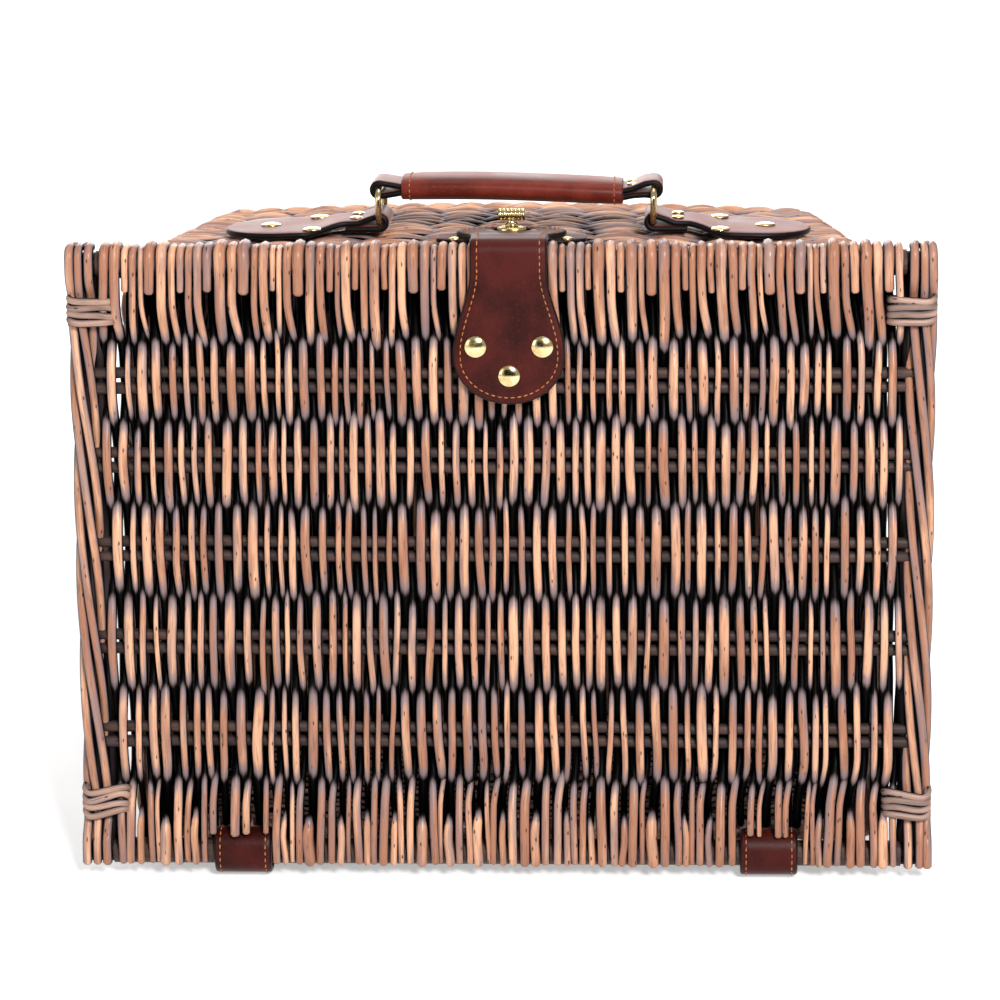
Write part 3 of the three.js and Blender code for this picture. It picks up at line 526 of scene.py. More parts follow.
def painted_shade_depth(part, depth, outward, sideways, reach, flank=0.34):
    """Painted shade, 0 on the outermost face and 1 deep inside: smooth steps of the depth of the rod's
    middle between -reach and reach, shared by how far a point looks outwards, plus flank times sideways to
    the power 4."""
    depth = spread(part, depth)
    front, back = smooth((depth + reach) / (2 * reach)), smooth((reach - depth) / (2 * reach))
    share = smooth(0.5 + 0.62 * outward)
    return np.clip(share * front + (1 - share) * back + flank * np.abs(sideways) ** 4, 0, 1)


sample = weave_depth(ROWS[None], -1, np.array([2.0]))
print("a rod that starts in front lies", sample[0].round(1), "mm back at the pairs")


# %% Rods of the lid
# Points along a rod, and the half width and height of the notches for the hinge loops
STATIONS = 62
NOTCH, NOTCH_END = 14.7, 10.5
# A fold is squarer than a circle: its sine and cosine are raised to this power
CROWN_POWER = 0.55


def lid_rods(index, side, stub_to, crown_from):
    """The rods with these numbers. A rod starts in a stub at height stub_to behind the side it runs down,
    turns over the top stick from the angle crown_from, and then weaves down to its cut end, which is higher
    in the notches for the hinge loops. At the frame sticks it drifts to its place in the closed bands.
    Between them it changes side a few millimetres sooner or later than its neighbour."""
    radius, x0 = rod_radius[index], rod_x[index]
    count = len(index)
    in_notch = np.abs(np.abs(band_x[index]) - HINGE_X) < NOTCH
    low = np.where(in_notch, NOTCH_END + 1.2 * rng.random(count), ROD_END + 0.7 * rng.random(count))
    z = TOP_STICK + (low[:, None] - TOP_STICK) * np.linspace(0, 1, STATIONS)
    free = smooth((TOP_STICK - 16 - z) / 20) * smooth((z - 20) / 20)
    y = weave_depth(z + drift(rng, count, STATIONS, 8, 1.7) * free, side, radius)

    # The fold over the top stick, and the stub before it
    turn = np.radians(np.linspace(crown_from, 0, 13)[:-1])
    reach = (STICK / 2 + radius - NIP)[:, None]
    crown_y = side * reach * np.sign(np.cos(turn)) * np.abs(np.cos(turn)) ** CROWN_POWER
    crown_z = TOP_STICK + reach * np.sin(turn) ** CROWN_POWER
    parts_y, parts_z = [crown_y, y], [crown_z, z]
    if stub_to:
        rise = np.linspace(0, 1, 4)[:-1]
        end = (stub_to + 2.4 * (rng.random(count) - 0.5))[:, None]
        parts_y.insert(0, -side * (reach + 0 * rise) * (1 - 0.06 * (1 - rise)))
        parts_z.insert(0, end + (TOP_STICK - end) * rise)
    y, z = np.concatenate(parts_y, 1), np.concatenate(parts_z, 1)

    # Sideways: straight but for slow drift, and to its place in the bands at both ends
    steps = z.shape[1]
    at_top, at_foot = smooth((z - TOP_STICK + 44) / 30), smooth((48 - z) / 26)
    lean = (1.1 * x0 / 200)[:, None] * smooth((TOP_STICK - z) / 30) * at_top
    x = x0[:, None] + (band_x[index] - x0)[:, None] * (at_top + at_foot) + lean
    x += drift(rng, count, steps, 9, 0.5) * (1 - 0.8 * at_top) + drift(rng, count, steps, 24, 0.12)
    snugly = np.maximum(at_top, at_foot)
    width = radius[:, None] + (band_radius[index] - radius)[:, None] * snugly
    width = width * (1 + drift(rng, count, steps, 6, 0.05) * (1 - snugly)) * (1 - 0.1 * at_foot)
    part = tubes(np.stack([x, y, z], -1), width, RIGHT, lengthwise=0.731)

    # Each rod has its own tone, a little darker at both ends, and less painted shade on its crown
    tone = rng.normal(0, 0.9, count)[:, None] + drift(rng, count, steps, 7, 0.6)
    tone = tone - 0.8 * at_top - 0.9 * at_foot
    crown = 1 - smooth((z - TOP_STICK + 3) / 5)
    # Painted shade where the rod dives behind its neighbours, and on its sides
    stain_and_shade = painted_shade_depth(part, y, -part["facing"][:, 1], part["facing"][:, 0], 5.0)
    part["values"] = {"tone": spread(part, tone), "recess": stain_and_shade * (0.35 + 0.65 * spread(part, crown))}
    return part


long_rods = lid_rods(LONG, -1, TOP_STICK - 6, 180)
stub_rods = lid_rods(STUB, 1, TOP_STICK - 11.5, 180)
plain_rods = lid_rods(PLAIN, 1, 0, 30)
print(len(LONG), "rods start in front,", len(STUB), "behind with a front stub,", len(PLAIN), "behind")


# %% Stubs at the hinge stick, and the whole lid
def hinge_stubs(index):
    """Short ends that come up in front of the hinge stick between the long rods: up to 24 mm, with a radius
    that grows from half at the tip by a smooth step."""
    x0, radius = band_x[index], band_radius[index]
    keep = np.abs(np.abs(x0) - HINGE_X) > NOTCH + 0.8
    x0, radius, count = x0[keep], radius[keep], int(keep.sum())
    t = np.linspace(0, 1, 9)
    top = (19.0 + 5 * rng.random(count))[:, None]
    z = top + (ROD_END - top) * t
    y = -(5.0 + 2.6 * smooth(2.2 * t)) + 0 * z
    x = x0[:, None] + drift(rng, count, len(t), 2, 0.5)
    width = radius[:, None] * (0.5 + 0.5 * smooth(3 * t))
    part = tubes(np.stack([x, y, z], -1), width, RIGHT, lengthwise=0.713)
    # Painted shade at the tip, which lies back between the long rods
    fade = np.repeat(0.6 * (1 - smooth(3.0 * t))[None], count, 0)
    part["values"] = {"tone": spread(part, rng.normal(0, 0.8, count)), "recess": spread(part, fade)}
    return part


lid_parts = joined([long_rods, stub_rods, plain_rods, hinge_stubs(STUB)])
lid_weave = make_piece("lid_rods", lid_parts, WILLOW, "lid")
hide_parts("lid_weave")

# %% [markdown]
# The cross sticks lie in pairs, left in their bark, and show as dark bars where the rods part, made darker
# still with painted shade. Straight cylinders would look turned on a lathe, so each sags and swells a
# little.

# %% Cross sticks
PAIR_RISE, PAIR_FALL, STICK_STATIONS = 3.5, 3.4, 90
heights = np.concatenate([ROWS + PAIR_RISE, ROWS - PAIR_FALL])
count = len(heights)
x = np.repeat(np.linspace(-PANEL_EDGE - 5, PANEL_EDGE + 5, STICK_STATIONS)[None], count, 0)
sag = drift(rng, count, STICK_STATIONS, 8, 0.25)
paths = np.stack([x, drift(rng, count, STICK_STATIONS, 8, 0.2), heights[:, None] + sag], -1)
part = tubes(paths, 2.75 + drift(rng, count, STICK_STATIONS, 12, 0.1), UP, sides=10, lengthwise=0.57)
# Painted shade: a little all over, and more on the faces that look up or down
part["values"] = {"tone": spread(part, drift(rng, count, STICK_STATIONS, 30, 0.9)),
                  "recess": 0.1 + 0.35 * np.abs(part["facing"][:, 2]) ** 3}
cross_sticks = make_piece("cross_sticks", part, STICK_WOOD, "lid")
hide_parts(*[f"lid_cross_sticks_{k}" for k in range(1, 6)])

# %% [markdown]
# Each side of the lid is closed by a bundle of long rods that fold over the top stick like the others and
# lie in a slow twist. A bundle of straight rods would leave gaps that move with the view, so five rods turn
# round a middle, with two dark cores behind them.

# %% Side posts
# Heights of the two bindings on a post, then its middle, its half sizes and the length of one turn
BOUND = TOP_STICK - 22.0, 25.5
POST_X, POST_WIDE, POST_DEEP, POST_TURN = 193.0, 4.7, 4.6, 230.0


def side_post(side):
    """Five rods round the post's middle, x = 193 + 4.7 cos a and y = 4.6 sin a, where a makes one turn in
    230 mm between the bindings. Above and below them the rods part to lie against the frame's sticks."""
    radius = np.array([2.2, 2.05, 2.25, 2.1, 2.15])
    z = TOP_STICK + (ROD_END - TOP_STICK) * np.linspace(0, 1, 90)
    start = np.radians([198, 270, 342, 54, 126])[:, None] + 0.12 * (side > 0)
    turn = start + 2 * np.pi * np.clip(BOUND[0] - z, 0, BOUND[0] - BOUND[1]) / POST_TURN
    at_top, at_foot = smooth((z - TOP_STICK + 17) / 13), smooth((18 - z) / 12)
    reach = STICK / 2 + radius[:, None] - NIP
    ends = [np.sign(np.sin(turn[:, k:k + 1 or None])) * reach for k in (0, -1)]
    x = side * POST_X + POST_WIDE * np.cos(turn)
    y = POST_DEEP * np.sin(turn) * (1 - at_top - at_foot) + ends[0] * at_top + ends[1] * at_foot
    crown = np.radians(np.linspace(90, 0, 7)[:-1])
    crown_y = ends[0] * np.cos(crown) ** CROWN_POWER
    crown_z = TOP_STICK + reach * np.sin(crown) ** CROWN_POWER
    path = np.stack([np.concatenate([x[:, :1] + 0 * crown_y, x], 1), np.concatenate([crown_y, y], 1),
                     np.concatenate([crown_z, z + 0 * y], 1)], -1)
    count, steps = path.shape[:2]
    path[..., 0] += drift(rng, count, steps, 8, 0.25)
    part = tubes(path, np.repeat(radius[:, None], steps, 1), RIGHT, sides=10, lengthwise=0.67)
    # Painted shade on the rods' sides and on the faces that look back
    stain_and_shade = 0.6 * np.abs(part["facing"][:, 0]) ** 3 + 0.25 * smooth(0.5 + 0.5 * part["facing"][:, 1])
    part["values"] = {"tone": spread(part, drift(rng, count, steps, 6, 0.9) - 0.9), "recess": stain_and_shade}
    return joined([part, *post_cores(side)])


def post_cores(side):
    """Two straight rods that close the view through the bundle, and the frame sticks' ends, dark with
    painted shade.
    """
    down = np.linspace(TOP_STICK - 4, 4, 40)
    spines = [np.column_stack([np.full(40, side * x), np.full(40, y), down])
              for x, y in ((192.6, 0.0), (186.6, 1.6))]
    tips = [[[side * 184, 0, z], [side * 197.5, 0, z]] for z in (TOP_STICK, 0)]
    cores = [tubes(np.stack(spines), np.full((2, 40), 2.6), RIGHT, sides=10),
             tubes(tips, np.full((2, 2), 5.3), UP, sides=12)]
    # Painted shade, nearly black all over
    for core in cores:
        core["values"] = {"tone": level(core, 0), "recess": level(core, 0.55)}
    return cores


for name, side in SIDES:
    post = make_piece("post_rods_" + name, side_post(side), WILLOW, "lid")
    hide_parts("lid_post_" + name)

# %% [markdown]
# Split willow is drawn four times round each post and the first rods of the panel, and holds the corners.
# One strand is a closed oblong in plan that climbs as it goes round, so its turns lie on each other.

# %% Corner bindings
# A strand's middle, its half sizes, the power that rounds them, and how often it goes round
TIE_X, TIE_WIDE, TIE_DEEP, TIE_POWER, TIE_TURNS = 188.2, 10.1, 8.3, 0.42, 4
# For each corner, how far a turn climbs and how steeply it crosses the front
TIES = {("top", -1): (3.3, 0.04), ("top", 1): (3.3, -0.03),
        ("hinge", -1): (3.7, 0.3), ("hinge", 1): (3.4, -0.17)}


def binding(side, z0, pitch, slope):
    """Turns round the post: x and y are half sizes times cos a and sin a to the power 0.42, which rounds an
    oblong, and z climbs by the pitch each turn. The slope changes a little from turn to turn."""
    steps = 56 * TIE_TURNS
    s = np.linspace(0, TIE_TURNS, steps)
    angle = 2 * np.pi * s
    cos, sin = np.cos(angle), np.sin(angle)
    x = TIE_X + TIE_WIDE * np.sign(cos) * np.abs(cos) ** TIE_POWER
    y = TIE_DEEP * np.sign(sin) * np.abs(sin) ** TIE_POWER
    tilt = slope + 0.05 * np.sin(2.6 * s + 1.0)
    z = z0 + pitch * (s - TIE_TURNS / 2) + side * tilt * (x - TIE_X) * -sin + 0.3 * np.sin(2.3 * angle)
    path = np.stack([side * x, y, z], -1)[None]
    part = tubes(path, 1.72 + drift(rng, 1, steps, 5 * TIE_TURNS, 0.07), UP, lengthwise=0.3)
    # Painted shade on the faces that look up or down, where one turn lies on the next
    part["values"] = {"tone": spread(part, drift(rng, 1, steps, 4 * TIE_TURNS, 0.9)),
                      "recess": 0.75 * np.abs(part["facing"][:, 2]) ** 4}
    return part


ties = [binding(side, BOUND[end == "hinge"], *tie) for (end, side), tie in TIES.items()]
bound = make_piece("corner_bindings", joined(ties), BINDING_WILLOW, "lid")
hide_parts(*[f"lid_binding_{end}_{name}" for end in ("top", "hinge") for name, side in SIDES])

# %% [markdown]
# The body is woven in rounds: each strand goes once round all four walls, outside one stake and inside the
# next, and the round behind it does the opposite. Four separate walls would show a break at each corner, so
# one formula gives a point on the walls' middle surface from a share of the way round, and the strands
# swing out and in from it.

# %% A way round the four walls
# For the top, right, bottom and left wall: how many spans between stakes, and how far the wall bows out
SPANS = (12, 9, 12, 9)
BOWS = (3.5, 2.5, 2.0, 2.5)
CORNER, WALL_INSET = 6.0, 4.6
BACK_AXIS = np.array([0.0, 1.0, 0.0])


def wall_round(y, per_span=6, corner_steps=4, inset=WALL_INSET):
    """Stations once round the body at depths y. A wall is a straight run with a bow of b (1 - t²) and a
    quarter circle after it, turned by 90 degrees for each wall. Gives back x and z of the middle surface,
    the way out from it, how many spans each station is from its wall's first corner, and a share that is 0
    at the corners and 1 away from them."""
    half, top, low = half_at(y) - inset, top_at(y) - inset, bottom_at(y) + inset
    middle, tall = (top + low) / 2, (top - low) / 2
    x_all, z_all, out_all, span_all, free_all = [], [], [], [], []
    for wall, spans in enumerate(SPANS):
        quarter = wall * np.pi / 2
        t = np.linspace(0, 1, spans * per_span + 1)[None]
        reach, length = (tall, half) if wall % 2 == 0 else (half, tall)
        run = (2 * t - 1) * (length - CORNER)
        rise = reach + BOWS[wall] * (1 - (2 * t - 1) ** 2)
        arc = (np.linspace(0, 1, corner_steps + 1)[1:-1] * np.pi / 2)[None]
        run = np.concatenate([run, length - CORNER + CORNER * np.sin(arc) + 0 * length], 1)
        rise = np.concatenate([rise, reach - CORNER + CORNER * np.cos(arc) + 0 * length], 1)
        turn = np.concatenate([0 * t, arc], 1)
        x_all.append(run * np.cos(quarter) + rise * np.sin(quarter))
        z_all.append(middle + rise * np.cos(quarter) - run * np.sin(quarter))
        out_all.append(np.stack([np.sin(quarter + turn), 0 * turn, np.cos(quarter + turn)], -1)[0])
        span_all.append(np.concatenate([t[0] * spans, np.zeros(corner_steps - 1)]))
        from_corner = np.minimum(t[0], 1 - t[0]) * spans
        free_all.append(np.concatenate([smooth(from_corner / 0.9), np.zeros(corner_steps - 1)]))
    return (np.concatenate(x_all, 1), np.concatenate(z_all, 1), np.concatenate(out_all),
            np.concatenate(span_all), np.concatenate(free_all))


print(wall_round(np.array([[MOUTH]]))[0].size, "stations once round the mouth, over", sum(SPANS), "spans")


# %% Strands of the walls
# How many rounds there are, where the first and the last lie, and how far they swing from the middle
ROUNDS, FIRST_ROUND, LAST_ROUND = 37, 21.5, 167.0
SWING = 2.1


def body_strands():
    """Each round is a loop: middle surface + way out times swing cos(pi times (span + round))."""
    radius = 1.5 + 0.75 * rng.random(ROUNDS)
    y = np.concatenate([[0], np.cumsum(radius[1:] + radius[:-1])])
    y = (FIRST_ROUND + (LAST_ROUND - FIRST_ROUND) * y / y[-1])[:, None]
    x, z, out, span, free = wall_round(y)
    order = np.arange(ROUNDS)[:, None]
    phase = np.cos(np.pi * (span[None] + order + drift(rng, ROUNDS, len(span), 30, 0.13)))
    swing = SWING * (free * phase + (1 - free))
    steps = x.shape[1]
    wave = drift(rng, ROUNDS, steps, 46, 0.6)
    wave[:, -20:] += (wave[:, :1] - wave[:, -1:]) * np.linspace(0, 1, 20)
    path = np.stack([x, y + wave, z], -1) + out[None] * swing[..., None]
    way = np.linspace(0, 2 * np.pi, steps)
    width = radius[:, None] * (1 + 0.1 * np.sin(way * 3 + 6 * rng.random((ROUNDS, 1))))
    part = tubes(path, width, BACK_AXIS, sides=7, looped=True, lengthwise=0.83)
    tone = rng.normal(0, 0.7, ROUNDS)[:, None] + 0.6 * np.sin(way * 5 + order)
    facing = part["facing"].reshape(*part["shape"], 3)
    outward = (facing * out[None, :, None]).sum(-1).ravel()
    # Painted shade where a strand swings in behind a stake, and on the faces towards its neighbouring rounds
    stain_and_shade = painted_shade_depth(part, -swing, outward, part["facing"][:, 1], 2.3, 0.4)
    part["values"] = {"tone": spread(part, tone), "recess": 0.78 * stain_and_shade}
    return part


walls = make_piece("body_strands", body_strands(), WILLOW, "basket")
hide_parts("wall_top", "wall_bottom", "wall_left", "wall_right")

# %% [markdown]
# The stakes are the body's ribs. They run from the rim to the base and show only as dark rods where the
# strands part, with a thicker one inside each corner that carries the weight.

# %% Stakes
# Where a stake starts and ends, its points, and how far in from both walls a corner stake stands
STAKE_FRONT, STAKE_BACK, STAKE_STATIONS = 14, 174, 14
CORNER_INSET = 9.2
# A reference direction that no stake is parallel to
ASLANT = RIGHT + 0.3 * UPWARD


def body_stakes():
    """Straight rods on the walls' middle surface from the rim to the base, one between every two spans."""
    y = np.linspace(STAKE_FRONT, STAKE_BACK, STAKE_STATIONS)[:, None]
    x, z, out, span, free = wall_round(y, per_span=1, corner_steps=2)
    on = free > 0.5
    path = np.stack([x[:, on].T, np.broadcast_to(y[:, 0], x[:, on].T.shape), z[:, on].T], -1)
    part = tubes(path, np.full(path.shape[:2], 2.2), ASLANT, lengthwise=0.4)
    # Painted shade, even all over
    part["values"] = {"tone": spread(part, rng.normal(0, 0.5, len(path))), "recess": level(part, 0.3)}
    return part


def corner_stakes():
    """Four thicker stakes: x = half the width less 9.2, and z as far in from the top or the bottom."""
    y = np.linspace(STAKE_FRONT, STAKE_BACK, STAKE_STATIONS)
    corners = [(side, end) for side in (-1, 1) for end in (-1, 1)]
    x = np.stack([side * (half_at(y) - CORNER_INSET) for side, end in corners])
    z = np.stack([top_at(y) - CORNER_INSET if end > 0 else bottom_at(y) + CORNER_INSET
                  for side, end in corners])
    path = np.stack([x, np.broadcast_to(y, x.shape), z], -1)
    part = tubes(path, np.full(x.shape, 4.6), UPWARD, sides=12, lengthwise=0.4)
    # Painted shade, even all over
    part["values"] = {"tone": spread(part, rng.normal(0, 0.5, 4)), "recess": level(part, 0.2)}
    return part


make_piece("body_stakes", body_stakes(), STICK_WOOD, "basket")
corner = make_piece("corner_stakes", corner_stakes(), STICK_WOOD, "basket")
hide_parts(*[f"corner_post_{end}_{name}" for end in ("top", "bottom") for name, side in SIDES])

# %% [markdown]
# Where the walls end, at the mouth and round the base, the stakes are bent over and woven into a rolled
# border, which looks like a rope of three rods. The weave itself hardly shows, so it is made as the rope.

# %% Rolled borders
def rope(y, inset, spread_out, radius, twists):
    """Three strands round a loop: loop + spread (cos a times out + sin a times back), a = turn + 120 k."""
    x, z, out, span, free = wall_round(np.array([[float(y)]]), inset=inset)
    steps = x.shape[1]
    strand = np.arange(3)[:, None]
    a = 2 * np.pi * (twists * np.arange(steps) / steps + strand / 3)
    loop = np.stack([x, np.full_like(x, y), z], -1)
    path = loop + spread_out * (np.cos(a)[..., None] * out[None] + np.sin(a)[..., None] * BACK_AXIS)
    part = tubes(path, np.full(path.shape[:2], radius), BACK_AXIS, sides=9, looped=True, lengthwise=0.9)
    # Painted shade where a strand lies on the inner side of the twist
    part["values"] = {"tone": spread(part, 0.8 * np.sin(a * 2 + strand)),
                      "recess": spread(part, 0.28 * smooth(0.5 - 0.5 * np.cos(a)))}
    return part


# At the mouth and round the base: depth, inset, spread, radius and turns
rim = make_piece("mouth_rim", rope(15.3, 5.6, 2.7, 2.75, 27), WILLOW, "basket")
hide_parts("rim_top", "rim_bottom", "rim_left", "rim_right")
border = make_piece("base_rope", rope(173.6, 6.1, 3.0, 3.05, 24), WILLOW, "basket")
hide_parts("base_border")

# %% [markdown]
# The base is woven like the lid, in plain rods before and behind six cross sticks. It is seen from behind,
# and through the gaps of the lid, where it keeps the inside dark. Its rods end inside the rolled border.

# %% Rods of the base
# The middle plane and the swing from it, where the rods end, and how many sticks and rods there are
BASE_Y, BASE_SWING = 175.0, 2.3
BASE_LOW, BASE_HIGH, BASE_STICKS = 14.5, LID_TOP - 21.5, 6
BASE_HALF, BASE_RODS = 139.5, 80


def base_rods():
    """Rods up the base: y = 175 + 2.3 cos(pi times (row + 1/2 + rod)) between the cross sticks."""
    x0 = np.linspace(-BASE_HALF, BASE_HALF, BASE_RODS)
    radius = 2.0 + 0.25 * rng.random(BASE_RODS)
    z = np.linspace(BASE_LOW, BASE_HIGH, 46)[None] + np.zeros((BASE_RODS, 1))
    row = (z - BASE_LOW) / (BASE_HIGH - BASE_LOW) * BASE_STICKS
    y = BASE_Y + BASE_SWING * np.cos(np.pi * (row + 0.5 + np.arange(BASE_RODS)[:, None]))
    x = x0[:, None] + drift(rng, BASE_RODS, 46, 8, 0.15)
    part = tubes(np.stack([x, y, z], -1), radius[:, None] + 0 * z, RIGHT, sides=7, lengthwise=0.7)
    facing = part["facing"]
    # Painted shade where a rod dives in between the sticks, and on its sides
    stain_and_shade = painted_shade_depth(part, BASE_Y - y, facing[:, 1], facing[:, 0], BASE_SWING)
    part["values"] = {"tone": spread(part, rng.normal(0, 0.8, BASE_RODS)), "recess": stain_and_shade}
    return part


base = make_piece("base_rods", base_rods(), WILLOW, "basket")
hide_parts("base_panel")


# %% Sticks of the base
def base_sticks():
    """Straight sticks across, each between two of the rods' turns, and a stake up each side that closes the
    view past the last rod."""
    heights = BASE_LOW + (BASE_HIGH - BASE_LOW) / BASE_STICKS * (np.arange(BASE_STICKS) + 0.5)
    shape = (BASE_STICKS, 30)
    x, z = np.broadcast_to(np.linspace(-141, 141, 30), shape), np.broadcast_to(heights[:, None], shape)
    sticks = tubes(np.stack([x, np.full(shape, BASE_Y), z], -1), np.full(shape, 2.0), UP, lengthwise=0.5)
    tone = rng.normal(0, 0.5, BASE_STICKS)
    # Painted shade, even all over
    sticks["values"] = {"tone": spread(sticks, tone), "recess": level(sticks, 0.25)}
    ends = [[[x, 168.0, 22.0], [x, 168.0, LID_TOP - 28]] for x in (-142.6, 142.6)]
    stakes = tubes(ends, np.full((2, 2), 3.0), RIGHT)
    # Painted shade, even all over
    stakes["values"] = {"tone": level(stakes, 0), "recess": level(stakes, 0.4)}
    return joined([sticks, stakes])


make_piece("base_sticks", base_sticks(), STICK_WOOD, "basket")

# %% [markdown]
# Every leather piece is a band: a middle line through space, a half width at each place along it, and an
# edge rounded over the thickness. A cut and bent plane could do the same by hand. Written as a function of
# the distance along, the distance across and the lift off the middle, one formula makes the skin and also
# places the stitches, a fixed way in from the edge.

# %% A band of leather in space
def line_through(points, step=0.5):
    """Points every half millimetre on a line through the given ones, with their distances along it."""
    points = np.asarray(points, float)
    reach = reach_along(points)
    d = np.append(np.arange(0, reach[-1], step), reach[-1])
    return d, np.stack([np.interp(d, reach, points[:, k]) for k in range(2)], 1)


def band(points, place):
    """A function from distance along, distance across and lift off the middle line to points in the hamper.
    The way off the line is its direction turned by 90 degrees. place takes run, across and rise."""
    d, line = line_through(points)
    way = unit(np.gradient(line, axis=0))
    kernel = np.ones(5) / 5
    padded = np.pad(way, ((2, 2), (0, 0)), "edge")
    way = unit(np.stack([np.convolve(padded[:, k], kernel, "valid") for k in range(2)], 1))

    def surface(along, across, lift):
        along = np.asarray(along, float)
        run, rise = np.interp(along, d, line[:, 0]), np.interp(along, d, line[:, 1])
        way_run, way_rise = np.interp(along, d, way[:, 0]), np.interp(along, d, way[:, 1])
        return place(run - way_rise * lift, across + 0 * along, rise + way_run * lift)

    surface.length = d[-1]
    return surface


def front_to_back(x0):
    """Places a band that runs back and up in the hamper: x = x0 + across, y = run, z = rise."""
    return lambda run, across, rise: np.stack([x0 + across, run, rise], -1)


def arc_points(centre, radius, start, end, steps=12):
    """Points on an arc between two angles: centre + radius times cos a and sin a."""
    a = np.radians(np.linspace(start, end, steps))
    return np.stack([centre[0] + radius * np.cos(a), centre[1] + radius * np.sin(a)], 1)


quarter_turn = band(arc_points((0, 0), 10, 0, 90), front_to_back(0))
print("a quarter turn of 10 mm radius is", round(quarter_turn.length, 1), "mm long")


# %% The band's outline and skin
def even_width(half):
    """A band's half width that is the same all along."""
    return lambda d: np.full(np.shape(d), half)


def outline(length, width_at, start, end, inset, middle_steps, round_steps=9):
    """Places along the band and half widths there, drawn in by inset. A round end of length r is a quarter
    turn: r - (r - inset) cos a along and (w - inset) sin a across. A square end has r = 0."""
    a = np.linspace(0, np.pi / 2, round_steps)
    along, half = [], []
    if start:
        along.append(start - (start - inset) * np.cos(a))
        half.append((width_at(np.array([start]))[0] - inset) * np.sin(a))
    body = np.linspace(start, length - end, middle_steps)
    body = body[1:] if start else body
    body = body[:-1] if end else body
    along.append(body)
    half.append(width_at(body) - inset)
    if end:
        along.append(length - end + (end - inset) * np.sin(a))
        half.append((width_at(np.array([length - end]))[0] - inset) * np.cos(a))
    return np.concatenate(along), np.maximum(np.concatenate(half), 0.0)


def leather_band(surface, width_at, start=0.0, end=0.0, thickness=LEATHER, middle_steps=40):
    """The band's skin: columns over the top, round the edge, under the bottom and back. Each column has an
    inset, a share across, a lift and a share of black paint; the edge is a half circle flattened to the
    thickness: inset = fillet (1 - sin b) and lift = half the thickness times cos b."""
    fillet, half_thick = 0.42 * thickness, thickness / 2
    shares = np.linspace(-1, 1, 9)
    bends = np.radians([35, 70, 110, 145])
    columns = [(fillet, share, half_thick, 0.0) for share in shares]
    columns += [(fillet * (1 - math.sin(b)), 1, half_thick * math.cos(b), 1.0) for b in bends]
    columns += [(fillet, share, -half_thick, 0.3) for share in shares[::-1]]
    columns += [(fillet * (1 - math.sin(b)), -1, half_thick * math.cos(b), 1.0) for b in bends[::-1]]
    grid, edge = [], []
    for inset, share, lift, painted in columns:
        along, half = outline(surface.length, width_at, start, end, inset, middle_steps)
        grid.append(surface(along, share * half, lift))
        edge.append(np.full(len(along), painted))
    return closed_skin(np.stack(grid, 1), edge=np.stack(edge, 1).reshape(-1))


sample = leather_band(quarter_turn, even_width(9.0))
print("its skin, 18 mm wide, has", len(sample["faces"]), "faces")


# %% Stitches
# One stitch every 3 mm, 2.1 mm long, drawn through five points and thinner at both ends
STITCH_PITCH, STITCH_LENGTH = 3.0, 2.1
STITCH_ARCH = np.linspace(-1, 1, 5)
THREAD_RADIUS = 0.31 * np.sqrt(1.08 - STITCH_ARCH ** 2)


def stitches(surface, width_at, start, end, inset, lift, skip=0.0):
    """A seam: the outline drawn in by inset, cut into stitches of 2.1 mm every 3 mm. Each is a small tube
    that rises out of the leather and dips back, lift - 0.12 + 0.34 (1 - t²)."""
    along, half = outline(surface.length, width_at, start, end, inset, 60, 24)
    paths = []
    for side in (-1, 1):
        flat = np.stack([along, side * half], 1)
        reach = reach_along(flat)
        centres = np.arange(skip + STITCH_PITCH / 2, reach[-1] - skip, STITCH_PITCH)
        at = centres[:, None] + STITCH_ARCH * STITCH_LENGTH / 2
        along_at, across_at = np.interp(at, reach, flat[:, 0]), np.interp(at, reach, flat[:, 1])
        paths.append(surface(along_at, across_at, lift + 0.34 * (1 - STITCH_ARCH ** 2) - 0.12))
    paths = np.concatenate(paths)
    width = np.repeat(THREAD_RADIUS[None], len(paths), 0)
    centre = paths.mean(1, keepdims=True)
    reference = unit(np.cross(paths[:, 4:] - paths[:, :1], centre + np.array([0.3, 1.0, 0.2])))
    return tubes(paths, width, reference, sides=6)


print("a stitch every", STITCH_PITCH, "mm, its thread", (2 * THREAD_RADIUS.max()).round(2), "mm thick")


# %% [markdown]
# The closing strap is one piece of leather: a broad round lobe riveted to the lid's front, a waist that
# bends over the lid's top edge, and a second lobe behind it with the slot for the turning button.

# %% Closing strap
# The strap's middle plane: in front of the lid's rods, over its top, and its lower end
STRAP_X = 4.4
STRAP_Y = -(9.5 + AIR + LEATHER / 2)
STRAP_Z = LID_TOP + AIR + LEATHER / 2
STRAP_END = LID_TOP - 73.4
BEND, WAIST_Y = 4.9, 3.9
# The turning button, and the flap that lies on the patch with its slot round it
BUTTON_Y, SLOT_WIDE = 27.0, 11.0
FLAP_END = BUTTON_Y + SLOT_WIDE / 2 + 6
PATCH_TOP = LID_TOP - 1.2
FLAP_LOW = PATCH_TOP + AIR + LEATHER / 2
# How far the two round ends reach, the lobes' half width, and how much narrower the waist is
FRONT_ROUND, FLAP_ROUND = 22, 13
LOBE_HALF, WAIST_IN = 25.7, 8.0

fall = np.linspace(0, 1, 20)
flap_y, flap_z = WAIST_Y + fall * (FLAP_END - WAIST_Y), STRAP_Z + (FLAP_LOW - STRAP_Z) * smooth(2.5 * fall)
strap_line = np.concatenate([
    [[STRAP_Y, STRAP_END]],
    arc_points((STRAP_Y + BEND, STRAP_Z - BEND), BEND, 180, 90),
    np.stack([flap_y, flap_z], 1),
])
strap = band(strap_line, front_to_back(STRAP_X))


